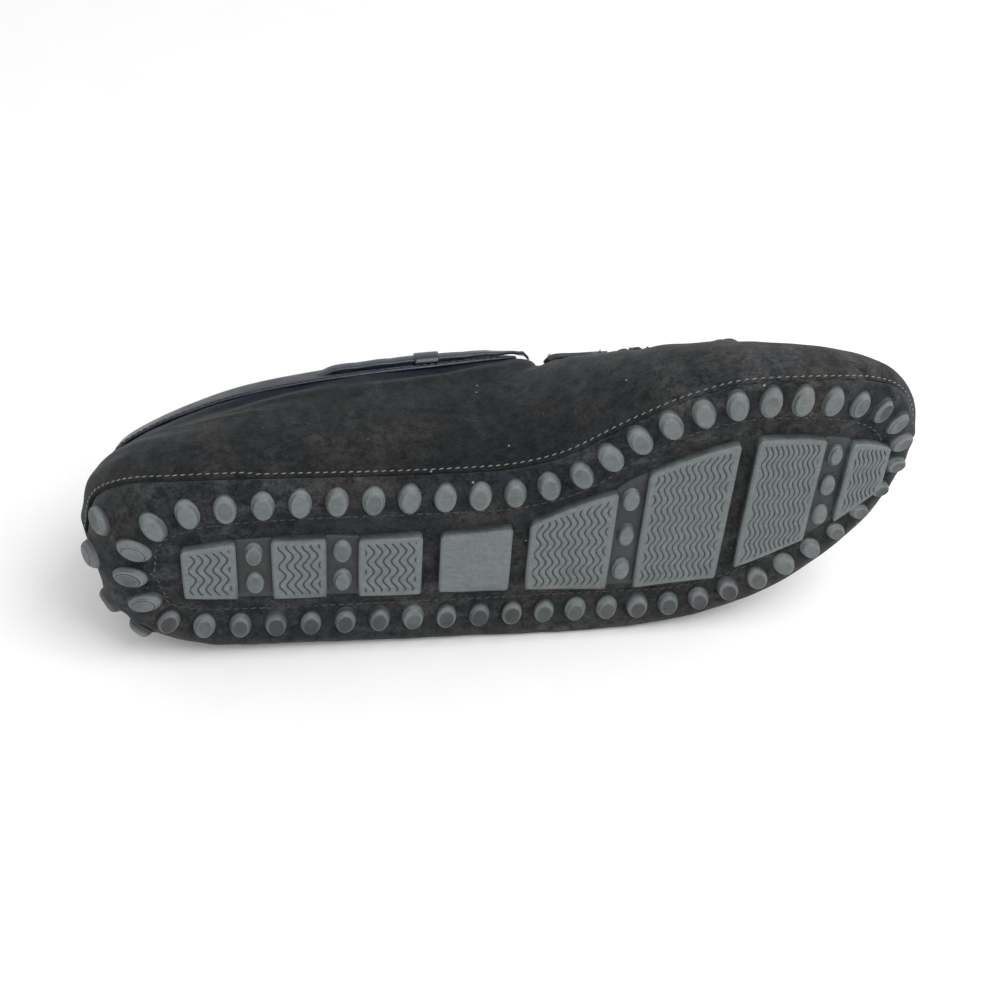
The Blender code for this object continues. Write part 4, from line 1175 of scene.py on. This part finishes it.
def buildInsole():
    bm, _ = ringGrid(insole["columns"], insole["rows"], insolePlace)
    bmesh.ops.recalc_face_normals(bm, faces=bm.faces)
    if sum(face.normal.y for face in bm.faces) < 0:
        bmesh.ops.reverse_faces(bm, faces=bm.faces)
    finishPiece("insoleLeather", bm, [liningLeather], ["insole"], recalc=False,
                wall=insole["thick"])


buildInsole()
print("strap, tongue and insole built")

# Floor, light, camera
# lights: name, place, size, power
stageForm = {"floor": (0.82, 0.82, 0.82), "sky": 0.85,
             "lights": (("keyLight", (0.50, -0.35, 1.1), 0.8, 10.5),
                        ("fillLight", (-0.2, -1.0, 0.7), 1.0, 2.5))}


def buildStage():
    bm = bmesh.new()
    bmesh.ops.create_grid(bm, x_segments=1, y_segments=1, size=4.0)
    mesh = makeMesh("floor", bm)
    made, tree, shader, where = newMaterial("paper", specular=0.1)
    tone = addRange(tree, addNoise(tree, where, 30, 3), 0.3, 0.7, 0.985, 1.0)
    feed(tree, shader.inputs, {"Base Color": addShade(tree, stageForm["floor"], tone), "Roughness": 0.9})
    mesh.materials.append(made)
    floor = addObject("floor", mesh)
    floor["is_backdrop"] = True
    world = bpy.data.worlds.new("studio")
    world.use_nodes = True
    feed(world.node_tree, world.node_tree.nodes["Background"].inputs,
         {"Color": (1.0, 1.0, 1.0), "Strength": stageForm["sky"]})
    bpy.context.scene.world = world
    for name, where, size, power in stageForm["lights"]:
        data = bpy.data.lights.new(name, "AREA")
        data.size = size
        data.energy = power
        light = addObject(name, data)
        light.location = where
        light.rotation_mode = "QUATERNION"
        light.rotation_quaternion = (-Vector(where)).to_track_quat("-Z", "Y")


buildStage()

cameraForm = {"place": (0.0625, -0.3906, 0.3859), "right": (0.9893, -0.1331, 0.0605),
              "up": (0.0449, 0.6702, 0.7408), "lens": 58.4, "sensor": 36.0}


def buildCamera():
    data = bpy.data.cameras.new("camera")
    data.sensor_width = cameraForm["sensor"]
    data.lens = cameraForm["lens"]
    data.clip_start, data.clip_end = 0.01, 20
    camera = addObject("camera", data)
    right, up = Vector(cameraForm["right"]).normalized(), Vector(cameraForm["up"])
    up = (up - right * up.dot(right)).normalized()
    turn = Matrix((right, up, right.cross(up))).transposed().to_4x4()
    camera.matrix_world = lay @ Matrix.Translation(cameraForm["place"]) @ turn
    bpy.context.scene.camera = camera


buildCamera()
bpy.context.scene.view_settings.view_transform = "Standard"

low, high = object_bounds()
cadSize, visualSize = ([round(x * 1000, 1) for x in box] for box in ((*cadLow, *cadHigh), (*low, *high)))
print("cad", cadSize, "visual", visualSize)
